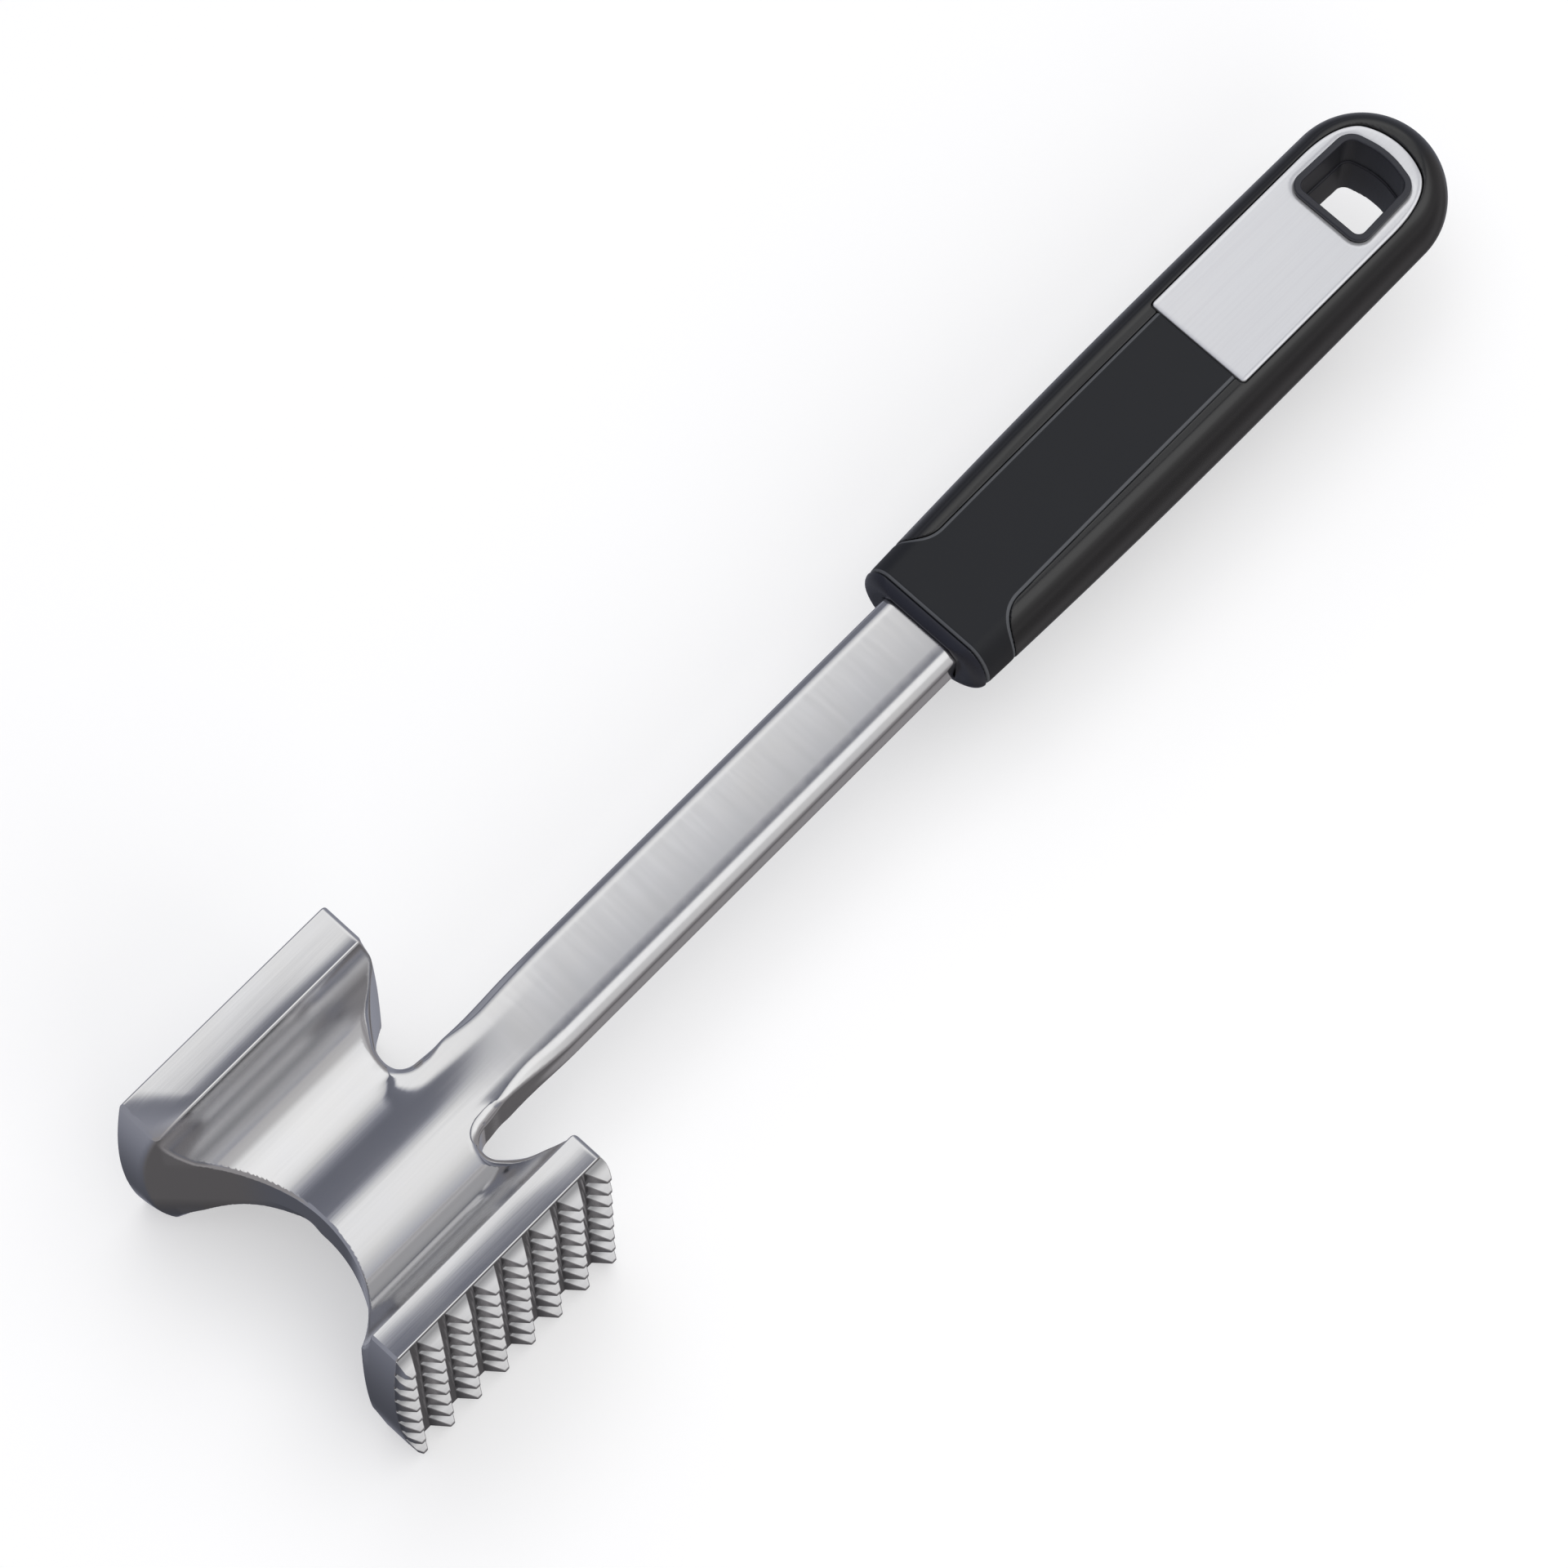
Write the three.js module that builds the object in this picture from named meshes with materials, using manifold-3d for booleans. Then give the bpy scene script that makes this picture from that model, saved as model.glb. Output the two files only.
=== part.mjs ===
// Meat mallet: a cast aluminium head, shank and tang in a two-shot moulded handle.
//
// Millimetres. +X runs from the head to the butt of the handle, +Y is the way the smooth
// striking face looks, -Y the toothed one, and +Z is the front, where the inlay plate
// lies. Every shape is drawn about the point where the shank axis crosses the hammer
// axis. The finished group is then moved so that its origin is the middle of the smooth
// striking face.
import * as THREE from 'three';
import { mergeVertices } from 'three/addons/utils/BufferGeometryUtils.js';
import Module from 'manifold-3d';

const wasm = await Module();
wasm.setup();

// --- Driving dimensions ------------------------------------------------------------

// Gap kept between neighbouring pieces.
const GAP = 0.25;

// How far a cutting or limiting shape runs past the piece it works on.
const PAST = 5;

// Toothed face: a square grid of blunt pyramids.
const TOOTH_PITCH = 6.5;
const TEETH_PER_SIDE = 8;
const TOOTH_HEIGHT = 3.3;
const TOOTH_BASE = 4.9;
const TOOTH_TIP = 1.1;

// Head, a spool with one striking face at each end of its neck.
const FACE_HALF = TOOTH_PITCH * TEETH_PER_SIDE / 2;
const FACE_END_BULGE = 2.6;
const FACE_CORNER = 1.8;
const SMOOTH_FACE_Y = 32.4;
const SMOOTH_FLANGE = 8.7;
const TOOTH_ROOT_Y = 30.6;
const TOOTHED_FLANGE = 6;
const FLANGE_EDGE = 0.8;
const NECK_HALF_LENGTH = 10.6;
const NECK_ARC_RADIUS = 26;
const NECK_HALF_DEPTH = 5.9;
const COVE_RADIUS = 18.5;
const NOTCH_FILLET = 4;

// Shank, a flat bar with four bevelled edges.
const SHANK_HALF_WIDTH = 8.3;
const SHANK_HALF_DEPTH = 5.6;
const SHANK_BEVEL = 1.8;
const SHANK_ROOT_X = 12;
const SHANK_BLEND_X = 46;
const SHANK_END_X = 141;

// Tang, the flat tongue that the handle is moulded on, with two lock holes.
const TANG_HALF_WIDTH = 6;
const TANG_HALF_DEPTH = 3;
const TANG_BEVEL = 0.8;
const TANG_END_X = 228;
const TANG_HOLE_X = [168, 204];
const TANG_HOLE_LENGTH = 9;
const TANG_HOLE_WIDTH = 5;

// Handle envelope.
const COLLAR_FRONT_X = 133.2;
const HANDLE_FRONT_X = 137.2;
const BUTT_CENTRE_X = 248.4;
const BUTT_RADIUS = 15;
const WIDEST_X = 205;
const WIDEST_HALF = 15.2;
const FRONT_HALF = 14.4;
const HANDLE_HALF_DEPTH = 8.9;
const FRONT_HALF_DEPTH = 7.7;
const FULL_DEPTH_X = 200;
const EDGE_ROUND = 4.3;

// Joint between the hard core and the soft grip.
const SEAM_FRONT_X = 143.2;
const SEAM_CORNER = 6;
const WEB_HALF = 9;
const WEB_END_X = 246;
const KEEL_HALF_DEPTH = 3.5;
const KEEL_HALF_WIDTH = 12;
const KEEL_FRONT_X = 152;

// Collar, with a sleeve that plugs into the core.
const SLEEVE_HALF_WIDTH = 10;
const SLEEVE_HALF_DEPTH = 6.5;
const SLEEVE_END_X = 140.6;

// Inlay plate.
const PLATE_FRONT_X = 204.3;
const PLATE_HALF = 10.9;
const PLATE_TOP_Z = 9;
const PLATE_THICKNESS = 1;
const PLATE_CORNER = 0.8;

// Hang-hole liner, a flanged bush in the shape of a rounded D.
const HOLE_NEAR_X = 238.8;
const HOLE_NEAR_HALF = 6.8;
const HOLE_FAR_X = 249.6;
const HOLE_FAR_HALF = 5.5;
const HOLE_APEX_X = 252.8;
const HOLE_CORNER = 1.5;
const LINER_WALL = 0.9;
const LIP_WIDTH = 1.7;
const LIP_HEIGHT = 0.8;

// --- Geometry helpers --------------------------------------------------------------

const DEGREE = Math.PI / 180;
const ARC_STEPS = 12;

/** Turns a closed geometry into a manifold solid. */
function solidOf(geometry) {
  const bare = geometry.clone();
  bare.deleteAttribute('normal');
  bare.deleteAttribute('uv');
  const merged = mergeVertices(bare, 1e-4);
  return new wasm.Manifold(new wasm.Mesh({
    numProp: 3,
    vertProperties: new Float32Array(merged.attributes.position.array),
    triVerts: new Uint32Array(merged.index.array),
  }));
}

/** Turns a manifold solid into a named mesh with its own material. */
function meshOf(name, solid, colour, roughness, metalness) {
  const { vertProperties, triVerts } = solid.getMesh();
  const geometry = new THREE.BufferGeometry();
  geometry.setAttribute('position', new THREE.BufferAttribute(vertProperties, 3));
  geometry.setIndex(new THREE.BufferAttribute(triVerts, 1));
  geometry.computeVertexNormals();
  const material = new THREE.MeshStandardMaterial({ color: colour, roughness, metalness });
  const mesh = new THREE.Mesh(geometry, material);
  mesh.name = name;
  return mesh;
}

/** Extrudes an outline drawn in X and Y from z0 to z1. */
function extrudeZ(shape, z0, z1) {
  const geometry = new THREE.ExtrudeGeometry(shape, {
    depth: z1 - z0, bevelEnabled: false, curveSegments: ARC_STEPS,
  });
  return solidOf(geometry.translate(0, 0, z0));
}

/** Extrudes an outline drawn in Y and Z from x0 to x1. */
function extrudeX(shape, x0, x1) {
  const geometry = new THREE.ExtrudeGeometry(shape, {
    depth: x1 - x0, bevelEnabled: false, curveSegments: ARC_STEPS,
  });
  const turn = new THREE.Matrix4().makeBasis(
    new THREE.Vector3(0, 1, 0), new THREE.Vector3(0, 0, 1), new THREE.Vector3(1, 0, 0));
  return solidOf(geometry.applyMatrix4(turn).translate(x0, 0, 0));
}

/** Extrudes an outline drawn in X and Z from y0 to y1. */
function extrudeY(shape, y0, y1) {
  const geometry = new THREE.ExtrudeGeometry(shape, {
    depth: y1 - y0, bevelEnabled: false, curveSegments: ARC_STEPS,
  });
  return solidOf(geometry.rotateX(Math.PI / 2).translate(0, y1, 0));
}

/** Outline of a polygon whose corners are rounded; each corner is [x, y, radius]. */
function roundedOutline(corners) {
  const shape = new THREE.Shape();
  corners.forEach(([x, y, radius], i) => {
    const corner = new THREE.Vector2(x, y);
    const before = new THREE.Vector2(...corners.at(i - 1));
    const after = new THREE.Vector2(...corners[(i + 1) % corners.length]);
    const toBefore = before.sub(corner).normalize();
    const toAfter = after.sub(corner).normalize();
    const halfAngle = Math.acos(toBefore.dot(toAfter)) / 2;
    const setback = radius / Math.tan(halfAngle);
    const start = corner.clone().addScaledVector(toBefore, setback);
    const end = corner.clone().addScaledVector(toAfter, setback);
    const middle = toBefore.clone().add(toAfter).normalize();
    const centre = corner.clone().addScaledVector(middle, radius / Math.sin(halfAngle));
    const from = start.clone().sub(centre).angle();
    const to = end.clone().sub(centre).angle();
    const clockwise = toBefore.cross(toAfter) > 0;
    if (i === 0) shape.moveTo(start.x, start.y);
    else shape.lineTo(start.x, start.y);
    shape.absarc(centre.x, centre.y, radius, from, to, clockwise);
  });
  return shape;
}

/** Makes a solid from a flat list of coordinates and a list of triangle corners. */
function solidFrom(positions, index) {
  const geometry = new THREE.BufferGeometry();
  geometry.setAttribute('position', new THREE.Float32BufferAttribute(positions, 3));
  geometry.setIndex(index);
  return solidOf(geometry);
}

/** Skins a row of closed rings that all have the same number of points. */
function skin(rings) {
  const count = rings[0].length;
  const positions = rings.flat(2);
  const index = [];
  for (let r = 0; r < rings.length - 1; r += 1) {
    for (let i = 0; i < count; i += 1) {
      const a = r * count + i;
      const b = r * count + (i + 1) % count;
      index.push(a, b, b + count, a, b + count, a + count);
    }
  }
  return { positions, index, count };
}

/** Closes a skin with a fan over its convex first and last rings. */
function closedSolid({ positions, index, count }) {
  const last = positions.length / 3 - count;
  for (let i = 1; i < count - 1; i += 1) {
    index.push(0, i + 1, i);
    index.push(last, last + i, last + i + 1);
  }
  return solidFrom(positions, index);
}

/** Bar along X with bevelled edges; each station is [x, halfWidth, halfDepth, bevel]. */
function bevelledBar(stations) {
  const rings = stations.map(([x, w, d, b]) => [
    [x, w, d - b], [x, w - b, d], [x, b - w, d], [x, -w, d - b],
    [x, -w, b - d], [x, b - w, -d], [x, w - b, -d], [x, w, b - d],
  ]);
  return closedSolid(skin(rings));
}

// --- Head, shank and tang ----------------------------------------------------------

/** Spool seen from the front: a concave neck between the two flanges. */
function headPlan() {
  const arcX = NECK_HALF_LENGTH + NECK_ARC_RADIUS;
  const flangeY = Math.sqrt(NECK_ARC_RADIUS ** 2 - (arcX - FACE_HALF - 1) ** 2);
  const sideX = FACE_HALF + 1;
  const filletY = SHANK_HALF_WIDTH - 0.05 + NOTCH_FILLET;
  const reach = NECK_ARC_RADIUS - NOTCH_FILLET;
  const filletX = arcX - Math.sqrt(reach ** 2 - filletY ** 2);
  const tangent = Math.atan2(filletY, arcX - filletX);
  const flangeAngle = Math.asin(flangeY / NECK_ARC_RADIUS);
  const shape = new THREE.Shape();
  shape.moveTo(-sideX, SMOOTH_FACE_Y);
  shape.lineTo(-sideX, flangeY);
  shape.absarc(-arcX, 0, NECK_ARC_RADIUS, flangeAngle, -flangeAngle, true);
  shape.lineTo(-sideX, -TOOTH_ROOT_Y - TOOTH_HEIGHT);
  shape.lineTo(sideX, -TOOTH_ROOT_Y - TOOTH_HEIGHT);
  shape.lineTo(sideX, -flangeY);
  shape.absarc(arcX, 0, NECK_ARC_RADIUS, Math.PI + flangeAngle, Math.PI + tangent, true);
  shape.absarc(filletX, -filletY, NOTCH_FILLET, Math.PI + tangent, Math.PI / 2, true);
  shape.lineTo(filletX, filletY - NOTCH_FILLET);
  shape.absarc(filletX, filletY, NOTCH_FILLET, -Math.PI / 2, Math.PI - tangent - 2 * Math.PI, true);
  shape.absarc(arcX, 0, NECK_ARC_RADIUS, Math.PI - tangent, Math.PI - flangeAngle, true);
  shape.lineTo(sideX, SMOOTH_FACE_Y);
  return shape;
}

/** Spool seen from its end: coves run from the neck up to each flange. */
function headProfile() {
  const smoothInner = SMOOTH_FACE_Y - SMOOTH_FLANGE;
  const toothedInner = TOOTH_ROOT_Y - TOOTHED_FLANGE;
  const coveZ = NECK_HALF_DEPTH + COVE_RADIUS;
  const shape = new THREE.Shape();
  shape.moveTo(SMOOTH_FACE_Y - FLANGE_EDGE, FACE_HALF);
  shape.lineTo(smoothInner, FACE_HALF);
  shape.absarc(smoothInner - COVE_RADIUS, coveZ, COVE_RADIUS, 0, -Math.PI / 2, true);
  shape.absarc(COVE_RADIUS - toothedInner, coveZ, COVE_RADIUS, -Math.PI / 2, -Math.PI, true);
  shape.lineTo(-toothedInner, FACE_HALF);
  shape.lineTo(-TOOTH_ROOT_Y - TOOTH_HEIGHT, FACE_HALF);
  shape.lineTo(-TOOTH_ROOT_Y - TOOTH_HEIGHT, -FACE_HALF);
  shape.lineTo(-toothedInner, -FACE_HALF);
  shape.absarc(COVE_RADIUS - toothedInner, -coveZ, COVE_RADIUS, Math.PI, Math.PI / 2, true);
  shape.absarc(smoothInner - COVE_RADIUS, -coveZ, COVE_RADIUS, Math.PI / 2, 0, true);
  shape.lineTo(smoothInner, -FACE_HALF);
  shape.lineTo(SMOOTH_FACE_Y - FLANGE_EDGE, -FACE_HALF);
  shape.lineTo(SMOOTH_FACE_Y, FLANGE_EDGE - FACE_HALF);
  shape.lineTo(SMOOTH_FACE_Y, FACE_HALF - FLANGE_EDGE);
  return shape;
}

/** Striking face: flat at the front and back, slightly bulged at its two ends. */
function faceOutline() {
  const bulgeRadius = (FACE_HALF ** 2 + FACE_END_BULGE ** 2) / (2 * FACE_END_BULGE);
  const bulgeX = FACE_HALF - bulgeRadius;
  const cornerZ = FACE_HALF - FACE_CORNER;
  const angle = Math.asin(cornerZ / bulgeRadius);
  const cornerX = bulgeX + bulgeRadius * Math.cos(angle);
  const shape = new THREE.Shape();
  shape.moveTo(cornerX - FACE_CORNER, -FACE_HALF);
  shape.quadraticCurveTo(cornerX, -FACE_HALF, cornerX, -cornerZ);
  shape.absarc(bulgeX, 0, bulgeRadius, -angle, angle, false);
  shape.quadraticCurveTo(cornerX, FACE_HALF, cornerX - FACE_CORNER, FACE_HALF);
  shape.lineTo(FACE_CORNER - cornerX, FACE_HALF);
  shape.quadraticCurveTo(-cornerX, FACE_HALF, -cornerX, cornerZ);
  shape.absarc(-bulgeX, 0, bulgeRadius, Math.PI - angle, Math.PI + angle, false);
  shape.quadraticCurveTo(-cornerX, -FACE_HALF, FACE_CORNER - cornerX, -FACE_HALF);
  return shape;
}

/** Grooves between the teeth: flat-bottomed channels along X and along Z. */
function toothGrooves() {
  const floor = (TOOTH_PITCH - TOOTH_BASE) / 2;
  const mouth = (TOOTH_PITCH - TOOTH_TIP) / 2;
  const above = 1;
  const flare = (mouth - floor) * above / TOOTH_HEIGHT;
  const reach = FACE_HALF + PAST;
  const grooves = [];
  for (let i = 0; i <= TEETH_PER_SIDE; i += 1) {
    const centre = (i - TEETH_PER_SIDE / 2) * TOOTH_PITCH;
    const left = i === 0 ? PAST : 0;
    const right = i === TEETH_PER_SIDE ? PAST : 0;
    const corners = [
      [centre - floor - left, 0], [centre + floor + right, 0],
      [centre + mouth + flare + right, TOOTH_HEIGHT + above],
      [centre - mouth - flare - left, TOOTH_HEIGHT + above],
    ];
    const across = new THREE.Shape();
    corners.forEach(([x, h], k) => {
      if (k === 0) across.moveTo(x, -TOOTH_ROOT_Y - h);
      else across.lineTo(x, -TOOTH_ROOT_Y - h);
    });
    const along = new THREE.Shape();
    corners.forEach(([z, h], k) => {
      if (k === 0) along.moveTo(-TOOTH_ROOT_Y - h, z);
      else along.lineTo(-TOOTH_ROOT_Y - h, z);
    });
    grooves.push(extrudeZ(across, -reach, reach), extrudeX(along, -reach, reach));
  }
  return grooves.reduce((sum, groove) => sum.add(groove));
}

/** Slot through the tang, shrunk by a gap where the handle's plug fills it. */
function tangHole(x, shrink) {
  const halfLength = TANG_HOLE_LENGTH / 2 - shrink;
  const halfWidth = TANG_HOLE_WIDTH / 2 - shrink;
  const corner = halfWidth * 0.6;
  return extrudeZ(roundedOutline([
    [x - halfLength, -halfWidth, corner], [x + halfLength, -halfWidth, corner],
    [x + halfLength, halfWidth, corner], [x - halfLength, halfWidth, corner],
  ]), -HANDLE_HALF_DEPTH, HANDLE_HALF_DEPTH);
}

/** Tang with its lock holes, grown by a gap when it is cut out of the handle. */
function tang(gap) {
  const bar = bevelledBar([
    [SHANK_END_X - 1 - gap, TANG_HALF_WIDTH + gap, TANG_HALF_DEPTH + gap, TANG_BEVEL],
    [TANG_END_X + gap, TANG_HALF_WIDTH + gap, TANG_HALF_DEPTH + gap, TANG_BEVEL],
  ]);
  return TANG_HOLE_X.reduce((solid, x) => solid.subtract(tangHole(x, gap)), bar);
}

function headAndShank() {
  const spool = extrudeZ(headPlan(), -FACE_HALF, FACE_HALF)
    .intersect(extrudeX(headProfile(), -FACE_HALF - PAST, FACE_HALF + PAST))
    .intersect(extrudeY(faceOutline(), -SMOOTH_FACE_Y - PAST, SMOOTH_FACE_Y + PAST));
  const middleX = (SHANK_ROOT_X + SHANK_BLEND_X) / 2;
  const middleDepth = (NECK_HALF_DEPTH + SHANK_HALF_DEPTH) / 2;
  const shank = bevelledBar([
    [0, SHANK_HALF_WIDTH, NECK_HALF_DEPTH - 0.1, SHANK_BEVEL / 3],
    [SHANK_ROOT_X, SHANK_HALF_WIDTH, NECK_HALF_DEPTH - 0.1, SHANK_BEVEL / 3],
    [middleX, SHANK_HALF_WIDTH, middleDepth, SHANK_BEVEL],
    [SHANK_BLEND_X, SHANK_HALF_WIDTH, SHANK_HALF_DEPTH, SHANK_BEVEL],
    [SHANK_END_X, SHANK_HALF_WIDTH, SHANK_HALF_DEPTH, SHANK_BEVEL],
  ]);
  return spool.subtract(toothGrooves()).add(shank).add(tang(0));
}

// --- Handle ------------------------------------------------------------------------

/** Half-width of the handle at x: widest at the front of the inlay plate. */
function handleHalfWidth(x) {
  if (x < WIDEST_X) {
    const t = (WIDEST_X - x) / (WIDEST_X - HANDLE_FRONT_X);
    return WIDEST_HALF - (WIDEST_HALF - FRONT_HALF) * t ** 2;
  }
  const t = (x - WIDEST_X) / (BUTT_CENTRE_X - WIDEST_X);
  return WIDEST_HALF - (WIDEST_HALF - BUTT_RADIUS) * t ** 2;
}

/** Half-depth of the handle at x: constant under the plate, thinner towards the collar. */
function handleHalfDepth(x) {
  const t = Math.max(0, (FULL_DEPTH_X - x) / (FULL_DEPTH_X - HANDLE_FRONT_X));
  return HANDLE_HALF_DEPTH - (HANDLE_HALF_DEPTH - FRONT_HALF_DEPTH) * t ** 2;
}

/** Whole outer shape of the handle: flat front and back, elliptic edges, round butt. */
function handleEnvelope() {
  const lengthSteps = 14;
  const buttSteps = 14;
  const edgeSteps = 10;
  const rings = [];
  for (let level = 0; level <= edgeSteps; level += 1) {
    const phi = (level / edgeSteps - 0.5) * Math.PI;
    const inset = EDGE_ROUND * (1 - Math.cos(phi));
    const side = [];
    for (let i = 0; i < lengthSteps; i += 1) {
      const x = HANDLE_FRONT_X + (BUTT_CENTRE_X - HANDLE_FRONT_X) * i / lengthSteps;
      side.push([x, handleHalfWidth(x) - inset, handleHalfDepth(x) * Math.sin(phi)]);
    }
    for (let i = 0; i < buttSteps; i += 1) {
      const theta = Math.PI / 2 * (1 - i / buttSteps);
      const radius = BUTT_RADIUS - inset;
      side.push([
        BUTT_CENTRE_X + radius * Math.cos(theta),
        radius * Math.sin(theta),
        HANDLE_HALF_DEPTH * Math.sin(phi),
      ]);
    }
    const tip = [BUTT_CENTRE_X + BUTT_RADIUS - inset, 0, HANDLE_HALF_DEPTH * Math.sin(phi)];
    const mirrored = side.map(([x, y, z]) => [x, -y, z]);
    rings.push([...mirrored, tip, ...side.reverse()]);
  }
  // The flat front and back join each point to its mirror image across the centre line.
  const { positions, index, count } = skin(rings);
  const tipIndex = (count - 1) / 2;
  const front = (rings.length - 1) * count;
  for (let a = 0; a < tipIndex - 1; a += 1) {
    const b = a + 1;
    const c = count - 1 - b;
    const d = count - 1 - a;
    index.push(a, c, b, a, d, c);
    index.push(front + a, front + b, front + c, front + a, front + c, front + d);
  }
  index.push(tipIndex - 1, tipIndex + 1, tipIndex);
  index.push(front + tipIndex - 1, front + tipIndex, front + tipIndex + 1);
  return solidFrom(positions, index);
}

/** Plan of the hard core: full width behind the collar, then a narrow web; grown by a gap. */
function corePlan(gap) {
  const outside = WIDEST_HALF + PAST;
  const cornerX = SEAM_FRONT_X + SEAM_CORNER;
  const cornerY = WEB_HALF + SEAM_CORNER;
  const shape = new THREE.Shape();
  shape.moveTo(HANDLE_FRONT_X - 1, -outside);
  shape.lineTo(SEAM_FRONT_X + gap, -outside);
  shape.absarc(cornerX, -cornerY, SEAM_CORNER - gap, Math.PI, Math.PI / 2, true);
  shape.absarc(WEB_END_X, 0, WEB_HALF + gap, -Math.PI / 2, Math.PI / 2, false);
  shape.absarc(cornerX, cornerY, SEAM_CORNER - gap, -Math.PI / 2, -Math.PI, true);
  shape.lineTo(SEAM_FRONT_X + gap, outside);
  shape.lineTo(HANDLE_FRONT_X - 1, outside);
  return extrudeZ(shape, -HANDLE_HALF_DEPTH - PAST, HANDLE_HALF_DEPTH + PAST);
}

/** Keel around the core that the soft grip is moulded over, grown by a gap. */
function keel(gap) {
  const halfWidth = KEEL_HALF_WIDTH + gap;
  const corner = 2;
  const shape = new THREE.Shape();
  shape.moveTo(KEEL_FRONT_X - gap + corner, -halfWidth);
  shape.absarc(BUTT_CENTRE_X, 0, halfWidth, -Math.PI / 2, Math.PI / 2, false);
  shape.lineTo(KEEL_FRONT_X - gap + corner, halfWidth);
  shape.lineTo(KEEL_FRONT_X - gap, halfWidth - corner);
  shape.lineTo(KEEL_FRONT_X - gap, corner - halfWidth);
  return extrudeZ(shape, -KEEL_HALF_DEPTH - gap, KEEL_HALF_DEPTH + gap);
}

/** Inlay plate outline: square end with small corners, round end; grown by a gap. */
function plateOutline(gap) {
  const half = PLATE_HALF + gap;
  const front = PLATE_FRONT_X - gap;
  const shape = new THREE.Shape();
  shape.moveTo(front + PLATE_CORNER, -half);
  shape.absarc(WEB_END_X, 0, half, -Math.PI / 2, Math.PI / 2, false);
  shape.lineTo(front + PLATE_CORNER, half);
  const cornerX = front + PLATE_CORNER;
  const cornerY = half - PLATE_CORNER;
  shape.absarc(cornerX, cornerY, PLATE_CORNER, Math.PI / 2, Math.PI, false);
  shape.absarc(cornerX, -cornerY, PLATE_CORNER, Math.PI, 3 * Math.PI / 2, false);
  return shape;
}

/** Seat of the inlay plate, cut into the core and the grip. */
function plateSeat() {
  return extrudeZ(plateOutline(GAP), PLATE_TOP_Z - PLATE_THICKNESS - GAP, PLATE_TOP_Z + PAST);
}

/** Rounded D of the hang hole, grown all round by a margin. */
function hangHoleOutline(margin) {
  const corner = HOLE_CORNER + margin / 2;
  return roundedOutline([
    [HOLE_NEAR_X - margin, -HOLE_NEAR_HALF - margin, corner],
    [HOLE_FAR_X + margin, -HOLE_FAR_HALF - margin, corner + 1],
    [HOLE_APEX_X + margin, 0, 5 * corner],
    [HOLE_FAR_X + margin, HOLE_FAR_HALF + margin, corner + 1],
    [HOLE_NEAR_X - margin, HOLE_NEAR_HALF + margin, corner],
  ]);
}

function hangHoleCut(margin) {
  return extrudeZ(hangHoleOutline(margin), -HANDLE_HALF_DEPTH - PAST, PLATE_TOP_Z + PAST);
}

/** Socket for the collar's sleeve and the end of the shank. */
function collarSocket() {
  return bevelledBar([
    [HANDLE_FRONT_X - 1, SLEEVE_HALF_WIDTH + GAP, SLEEVE_HALF_DEPTH + GAP, SHANK_BEVEL],
    [SHANK_END_X + GAP, SLEEVE_HALF_WIDTH + GAP, SLEEVE_HALF_DEPTH + GAP, SHANK_BEVEL],
  ]);
}

function handleCore(envelope) {
  return envelope.intersect(corePlan(0))
    .add(keel(0).intersect(envelope))
    .subtract(tang(GAP))
    .subtract(collarSocket())
    .subtract(plateSeat())
    .subtract(hangHoleCut(LINER_WALL + GAP));
}

function softGrip(envelope) {
  return envelope.subtract(corePlan(GAP))
    .subtract(keel(GAP))
    .subtract(plateSeat());
}

/** Section of the handle across X, as a ring of points for the collar. */
function handleSection(x, halfWidth, halfDepth, edge) {
  const steps = 8;
  const ring = [];
  for (const side of [1, -1]) {
    for (let i = 0; i <= steps; i += 1) {
      const phi = side * (i / steps - 0.5) * Math.PI;
      ring.push([x, side * (halfWidth - edge * (1 - Math.cos(phi))), halfDepth * Math.sin(phi)]);
    }
  }
  return ring;
}

/** Collar: a rounded nose ring, with a sleeve that plugs into the core. */
function frontCollar() {
  const backX = HANDLE_FRONT_X - GAP;
  const noseSteps = 4;
  const noseHalfWidth = SHANK_HALF_WIDTH + 2.2;
  const noseHalfDepth = SHANK_HALF_DEPTH + 1;
  const rings = [];
  for (let i = 0; i <= noseSteps; i += 1) {
    const angle = i / noseSteps * Math.PI / 2;
    const swell = Math.sin(angle);
    rings.push(handleSection(
      backX - (backX - COLLAR_FRONT_X) * Math.cos(angle),
      noseHalfWidth + (FRONT_HALF - noseHalfWidth) * swell,
      noseHalfDepth + (FRONT_HALF_DEPTH - noseHalfDepth) * swell,
      EDGE_ROUND,
    ));
  }
  const nose = closedSolid(skin(rings));
  const sleeve = bevelledBar([
    [backX - 1, SLEEVE_HALF_WIDTH, SLEEVE_HALF_DEPTH, SHANK_BEVEL],
    [SLEEVE_END_X, SLEEVE_HALF_WIDTH, SLEEVE_HALF_DEPTH, SHANK_BEVEL],
  ]);
  const bore = bevelledBar([
    [COLLAR_FRONT_X - PAST, SHANK_HALF_WIDTH + GAP, SHANK_HALF_DEPTH + GAP, SHANK_BEVEL],
    [SLEEVE_END_X + PAST, SHANK_HALF_WIDTH + GAP, SHANK_HALF_DEPTH + GAP, SHANK_BEVEL],
  ]);
  return nose.add(sleeve).subtract(bore);
}

function inlayPlate() {
  return extrudeZ(plateOutline(0), PLATE_TOP_Z - PLATE_THICKNESS, PLATE_TOP_Z)
    .subtract(hangHoleCut(LINER_WALL + GAP));
}

/** Liner: a barrel through the handle, with a lip that holds the plate down. */
function hangHoleLiner() {
  const lipBottom = PLATE_TOP_Z + GAP;
  const barrel = extrudeZ(hangHoleOutline(LINER_WALL), -HANDLE_HALF_DEPTH, lipBottom + LIP_HEIGHT);
  const lip = extrudeZ(hangHoleOutline(LIP_WIDTH), lipBottom, lipBottom + LIP_HEIGHT);
  return barrel.add(lip).subtract(hangHoleCut(0));
}

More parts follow.
